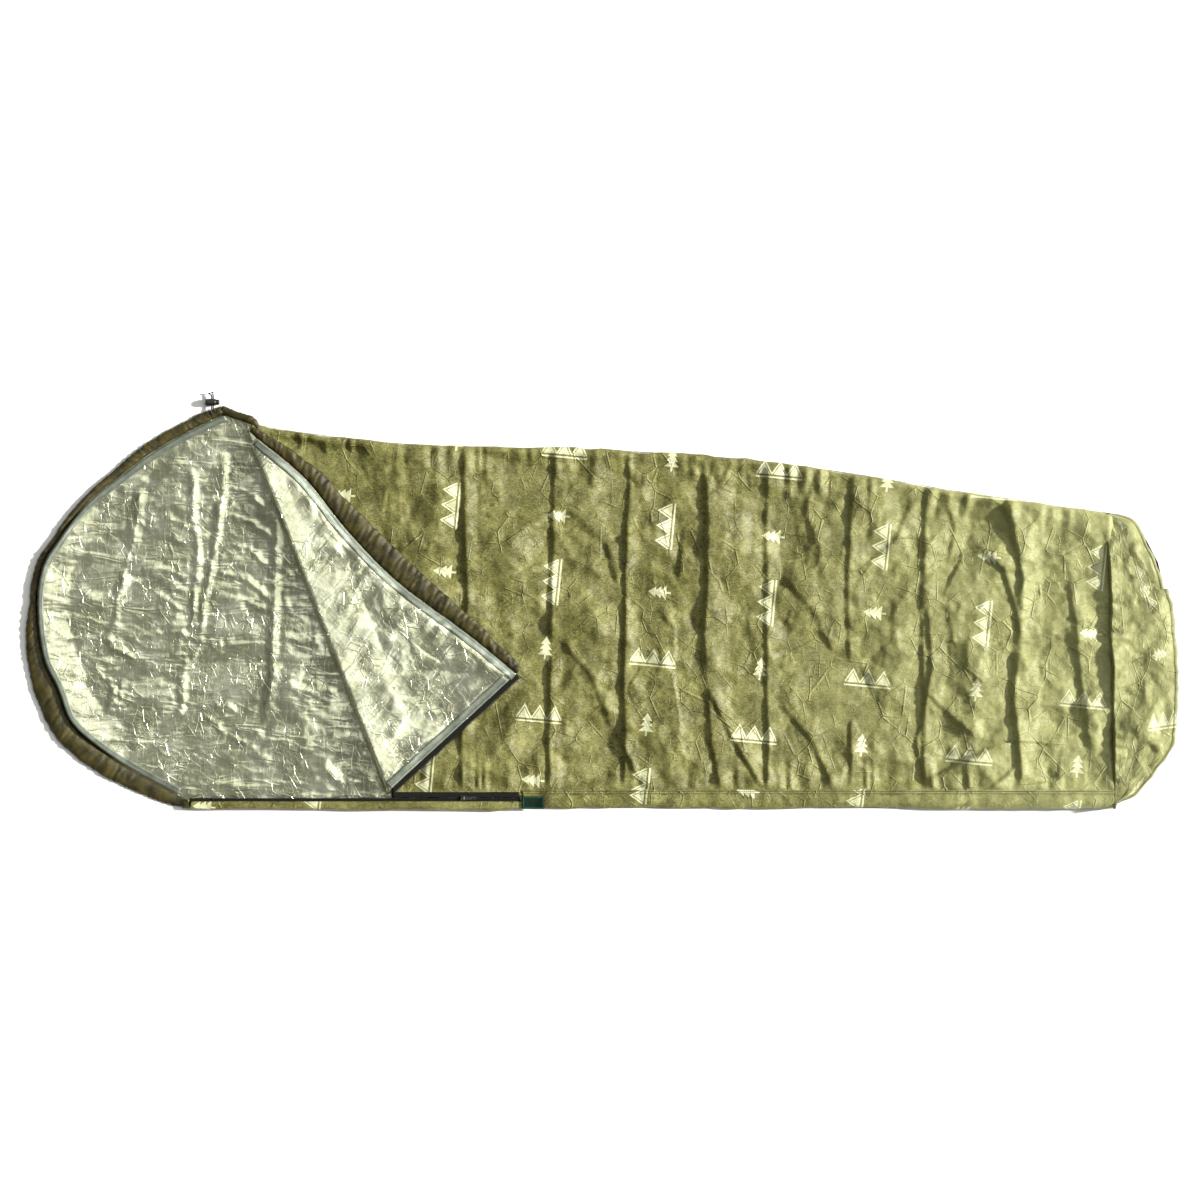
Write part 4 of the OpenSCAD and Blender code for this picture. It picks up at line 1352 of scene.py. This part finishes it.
def corner_band():
    """Corner piece of the channel, which climbs from the hood to the flap's fold."""
    low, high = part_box("far_corner_channel")
    start = from_far(HOOD_IN, HOOD_OUT)[0][0] + np.array([-7.6, 2.5]) * MM
    stop = np.array([high.x - 4.4 * MM, low.y])
    line = np.array([start, start * 0.5 + stop * 0.5, stop,
                     stop + np.array([11, -9]) * MM, stop + np.array([17, -19]) * MM])
    wide = np.array([14, 14, 13.5, 10, 5])[:, None] * MM
    away = np.array([[0.316, 0.949], [0.316, 0.949], [0.42, 0.91], [0.75, 0.66], [0.9, 0.43]])
    line = line - away * 3 * MM
    obj = band("corner_band", curved(line), curved(line + away * wide), 0.0, 5.6 * MM, 171, 13 * MM)
    co = points_of(obj)
    climb = ramp(co[:, 0], start[0] - 6 * MM, stop[0] + 3 * MM) * (high.z - 4.5 * MM)
    co[:, 2] += 0.4 * MM + climb
    move_points(obj, co)
    settle(obj, "sack", "channel", "far_corner_channel")


def flap_band():
    """Flap's drawcord channel, gathered along the head edge."""
    low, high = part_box("flap_channel")
    inner, outer = from_far(BAND_IN, BAND_OUT)
    inner = np.concatenate([[FLAP_TIP], inner])
    outer = np.concatenate([[FLAP_TIP + [5 * MM, 9 * MM]], outer])
    obj = band("flap_band", inner, outer, low.z + 0.5 * MM, high.z + 1 * MM, 181, 37 * MM, 0.15)
    settle(obj, "flap", "channel", "flap_channel")


def tape(name, line, offset, width, tree, lift, body):
    """Flat tape beside a line, on the side where the sheet is, with rows of stitches."""
    line = even(line, int(length_along(line)[-1] / (4 * MM)))
    ahead = np.gradient(line, axis=0)
    ahead /= np.linalg.norm(ahead, axis=1, keepdims=True)
    side = np.stack([ahead[:, 1], -ahead[:, 0]], 1)
    hits = []
    for way in (1, -1):
        x, y = (line + way * side * width / 2).T
        hits.append(np.sum(height_on(tree, x, y, -1.0) > 0))
    if hits[1] > hits[0]:
        side = -side
    grid, cut = [], []
    far = length_along(line)
    for t in np.linspace(0, 1, 7):
        edge = offset + width * t * (1 + 0.05 * noise(far, far * 0 + t, 30 * MM, 191))
        flat = line + side * np.reshape(edge, (-1, 1))
        z = height_on(tree, flat[:, 0], flat[:, 1], FLAP_LOW + 1.4 * MM if body == "flap" else 0.0)
        z = smooth(z[:, None], 2)[:, 0] + lift - (0.5 * MM if t in (0.0, 1.0) else 0)
        grid.append(np.concatenate([flat, z[:, None]], 1))
        cut.append(np.stack([far, np.full(len(far), t * abs(width))], 1))
    top, cut = face_up(np.array(grid), np.array(cut))
    obj = closed_sheet(name, top, cut, [TAPE], 0.5 * MM)
    flatten(obj, body)
    parts = []
    for share in TAPE_STITCHES:
        at = share * 6
        k = int(at)
        path = grid[k] * (1 - at + k) + grid[k + 1] * (at - k)
        path[:, 2] += 0.25 * MM
        parts += stitch_row(path[1:-1])
    thread = joined(name + "_stitches", parts, [GREY_THREAD])
    flatten(thread, body)
    return obj


def tapes():
    """Tapes inside the hood's seam, and along the flap's head and zip edges."""
    on_flap = surface_of(flap)
    hood = tape("hood_tape", HOOD_IN, 2 * MM, 12 * MM, surface_of(back), 1.3 * MM, "sack")
    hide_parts("hood_seam_tape")
    line, _ = from_far(BAND_IN, BAND_OUT)
    line = np.concatenate([[0.5 * line[0] + 0.5 * FLAP_TIP], line])
    head = tape("head_tape", line, 0.5 * MM, 15 * MM, on_flap, 1.2 * MM, "flap")
    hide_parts("flap_head_tape")
    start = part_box("zip_coil_back")[0].x + 20 * MM
    x = np.linspace(start, fold_x(EDGE_Y) - 8 * MM, 80)
    line = np.stack(turned(x, np.full(80, EDGE_Y)), 1)
    binding = tape("zip_binding", line, 0.5 * MM, 15 * MM, on_flap, 1.4 * MM, "flap")
    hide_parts("flap_zip_binding")


# ---------------------------------------------------------------- zip

def zip_tape_piece(name, node, near, far):
    """Woven zip tape that runs on under its coil, from one side in Y to the other."""
    low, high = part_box(node)
    start, end = low.y + 0.1 * MM, high.y - 0.1 * MM
    x = np.arange(low.x, high.x, 4 * MM)
    z = (low.z + high.z) / 2
    rows = []
    for t in np.linspace(0, 1, 9):
        y = near + (far - near) * t
        rest = 0.4 * MM if start < y < end else -1.3 * MM
        lift = rest + 0.3 * MM * noise(x, x * 0 + t, 25 * MM, 201)
        rows.append(np.stack([x, np.full(len(x), y), z + lift], 1))
    top = np.array(rows)
    cut = top[:, :, :2]
    obj = closed_sheet(name, top, cut, [ZIP_TAPE], 0.8 * MM)
    return settle(obj, "sack", "zip_tape", node)


def zip_tapes():
    """The sack's two zip tapes, which nearly meet under the coils."""
    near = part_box("zip_tape_back")[0].y
    zip_tape_piece("zip_tape_near", "zip_tape_back", near, ZIP_Y - 0.5 * MM)
    zip_tape_piece("zip_tape_far", "zip_tape_front", ZIP_Y + 0.5 * MM, EDGE_Y)


def coil_row(name, node, body, start, end, radius):
    """One row of the zip's coil: a flattened helix of monofilament."""
    span = Vector(end) - Vector(start)
    pitch = 1.7 * MM
    turns = int(span.length / pitch)
    count = turns * 10
    t = np.linspace(0, 1, count)
    angle = t * turns * math.tau
    along = np.array(span.normalized())
    side = np.cross(along, [0, 0, 1.0])
    path = np.array(start) + np.outer(t, np.array(span))
    path = path + np.outer(np.cos(angle) * radius[0], side)
    path[:, 2] += np.sin(angle) * radius[1]
    obj = joined(name, [tube(path, WIRE, 5, along)], [COIL])
    return settle(obj, body, "zip_coil", node)


def coil_rows():
    """The sack's two rows of coil."""
    for node in ("zip_coil_back", "zip_coil_front"):
        low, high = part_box(node)
        y, z = (low.y + high.y) / 2, (low.z + high.z) / 2
        radius = ((high.y - low.y) / 2 - WIRE_INSET, (high.z - low.z) / 2 - WIRE_INSET)
        coil_row(node.replace("zip_coil", "coil"), node, "sack", (low.x, y, z), (high.x, y, z), radius)


def flap_box(node):
    """Lowest and highest X, Y and Z of a flap node as it lies when closed."""
    co = points_of(frame["nodes"][node])
    x, y = turned(co[:, 0], co[:, 1])
    return [(v.min(), v.max()) for v in (x, y, co[:, 2])]


def flap_zip_tape():
    """Zip tape along the flap's zip edge, which lies slanted while the flap is open."""
    (x0, x1), (y0, y1), (z0, z1) = flap_box("zip_tape_flap")
    x = np.arange(x0, x1, 4 * MM)
    rows, cuts = [], []
    for t in np.linspace(0, 1, 6):
        y = np.full(len(x), y0 + (y1 - y0) * t)
        px, py = turned(x, y)
        rows.append(np.stack([px, py, np.full(len(x), (z0 + z1) / 2 + 0.4 * MM)], 1))
        cuts.append(np.stack([x, y], 1))
    top, cut = face_up(np.array(rows), np.array(cuts))
    obj = closed_sheet("flap_zip_tape", top, cut, [ZIP_TAPE], 0.8 * MM)
    settle(obj, "flap", "zip_tape", "zip_tape_flap")


def flap_coil():
    """The flap's row of coil."""
    (x0, x1), (y0, y1), (z0, z1) = flap_box("zip_coil_flap")
    middle, z = (y0 + y1) / 2, (z0 + z1) / 2
    start, end = (*turned(x0, middle), z), (*turned(x1, middle), z)
    radius = ((y1 - y0) / 2 - WIRE_INSET, (z1 - z0) / 2 - WIRE_INSET)
    coil_row("flap_coil", "zip_coil_flap", "flap", start, end, radius)


def label_piece():
    """Blank woven label sewn over the closed end of the zip."""
    low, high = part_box("label_tab")
    x = np.linspace(low.x, high.x, 25)
    y = np.linspace(low.y, high.y, 15)
    gx, gy = np.meshgrid(x, y)
    u, v = (gx - low.x) / (high.x - low.x), (gy - low.y) / (high.y - low.y)
    curl = 1.2 * MM * noise(gx, gy, 18 * MM, 211) + 1.5 * MM * (np.abs(u - 0.5) * 2) ** 4 * np.sin(3 * v)
    top = np.stack([gx, gy, high.z + 1.2 * MM + curl], 2)
    obj = closed_sheet("label", top, np.stack([u, v], 2), [LABEL], 0.7 * MM)
    settle(obj, "sack", "label", "label_tab")


# ---------------------------------------------------------------- cords

HOOD_TAIL = [(-729, 349, 3.1), (-726.6, 350.3, 4.6), (-725.2, 351.6, 6.6), (-724.3, 354.5, 8.1),
             (-723.6, 359, 7.9), (-723.4, 364, 7.2), (-723.4, 384, 7.2), (-726, 387.5, 6)]
CORNER_TAIL = [(-712, 356, 3.1), (-714.6, 355.2, 4.4), (-716.2, 355.6, 6.4), (-718, 358.4, 8.1),
               (-720, 361.5, 7.8), (-720.6, 366, 7.2), (-720.6, 384, 7.2), (-721.5, 388.5, 8.5)]


def cord_piece(name, node, path, body):
    obj = joined(name, [tube(path, 1.2 * MM, 10)], [CORD])
    return settle(obj, body, "cord", node)


def cords():
    """Drawcords inside their channels, out through the exits and the lock to their knots."""
    middle = (HOOD_IN + HOOD_OUT) / 2
    if middle[0, 1] > middle[-1, 1]:
        middle = middle[::-1]
    run = np.concatenate([middle[14:-7], np.full((len(middle) - 21, 1), 3 * MM)], 1)
    tail = curved(np.array(HOOD_TAIL) * MM)
    cord_piece("cord_hood", "drawcord_hood", np.concatenate([run, tail]), "sack")
    start = np.array([(-651, 343, 10.8), (-697, 358.3, 3.1), (-704, 359.4, 3)]) * MM
    cord_piece("cord_corner", "drawcord_corner",
               np.concatenate([start, curved(np.array(CORNER_TAIL) * MM)]), "sack")
    middle = (BAND_IN + BAND_OUT) / 2
    low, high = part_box("drawcord_flap")
    run = np.concatenate([middle[8:-8], np.full((len(middle) - 16, 1), (low.z + high.z) / 2)], 1)
    cord_piece("cord_flap", "drawcord_flap", run, "flap")


def knots():
    """Overhand knots that end the two strands."""
    parts = []
    for centre, turn in (((-727.6, 389.4, 5.4), 0.6), ((-721.9, 390.6, 9.2), 2.1)):
        a = np.linspace(0, math.tau, 60)
        x = np.sin(a) + 2 * np.sin(2 * a)
        y = np.cos(a) - 2 * np.cos(2 * a)
        z = -np.sin(3 * a)
        c, n = math.cos(turn), math.sin(turn)
        knot = np.stack([x * c - y * n, z * 0.9, x * n + y * c], 1)
        parts.append(tube(np.array(centre) * MM + knot * 0.62 * MM, 0.85 * MM, 7))
    obj = joined("cord_end_knots", parts, [CORD])
    settle(obj, "sack", "cord", "cord_knots")


def lock_spring():
    """Wire spring in the cord lock, which the plunger presses; it is built at the length of its CAD part."""
    low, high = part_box("cord_lock_spring")
    wire, turns, press = 0.35 * MM, 3, 3 * MM
    angle = np.linspace(0, turns * math.tau, 72)
    radius = (high.y - low.y) / 2 - wire
    middle = (low + high) / 2
    x = np.linspace(low.x + wire, high.x - wire, 72)
    path = np.stack([x, middle.y + radius * np.cos(angle), middle.z + radius * np.sin(angle)], 1)
    obj = joined("lock_spring", [tube(path, wire, 8, (1.0, 0.0, 0.0))], [SPRING])
    settle(obj, "cord_lock", "spring", "cord_lock_spring")
    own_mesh(obj)


def declare(obj):
    """Works out a cloth panel's cut area in plan and its faces' areas, and keeps neither."""
    mesh = obj.data
    kinds = np.zeros(len(mesh.polygons), np.int32)
    mesh.polygons.foreach_get("material_index", kinds)
    quads = int((kinds == 0).sum())
    uv = np.zeros(2 * len(mesh.loops))
    mesh.uv_layers["cut"].data.foreach_get("uv", uv)
    uv = uv.reshape(-1, 2)[:4 * quads].reshape(-1, 4, 2)
    across, down = uv[:, 2] - uv[:, 0], uv[:, 3] - uv[:, 1]
    plan = 0.5 * np.abs(across[:, 0] * down[:, 1] - across[:, 1] * down[:, 0]).sum()
    area = np.zeros(len(mesh.polygons))
    mesh.polygons.foreach_get("area", area)


def declare_sheets():
    """Works out the cut and face areas of every cloth panel."""
    declare(back)
    declare(front)
    declare(strip)
    declare(wall)
    declare(foot)
    declare(flap)
    declare(roll)


def dress_cad_nodes():
    """Finishes of the rigid CAD parts that stay."""
    finishes = [
        (METAL, ("zip_top_stop_back", "zip_bottom_stop", "zip_top_stop_flap", "zip_slider", "zip_pull")),
        (PLASTIC, ("cord_lock_barrel", "cord_lock_plunger")),
        (BLACK_THREAD, ("hood_end_tack", "hood_crown_tack", "flap_end_tack")),
        (NYLON, ("cord_exit_patch",)),
    ]
    for mat, nodes in finishes:
        for name in nodes:
            mesh = frame["nodes"][name].data
            mesh.materials.clear()
            mesh.materials.append(mat)


# ---------------------------------------------------------------- assembly

make_camera()
make_lights()
make_floor(floor_paint())
cords()
knots()
back = back_sheet()
front = front_sheet()
strip = near_strip(front)
wall = zip_wall()
foot = foot_cap(front)
flap = flap_sheet()
roll = fold_roll()
hood_band()
corner_band()
flap_band()
tapes()
zip_tapes()
flap_zip_tape()
flap_coil()
coil_rows()
label_piece()
lock_spring()
dress_cad_nodes()
declare_sheets()
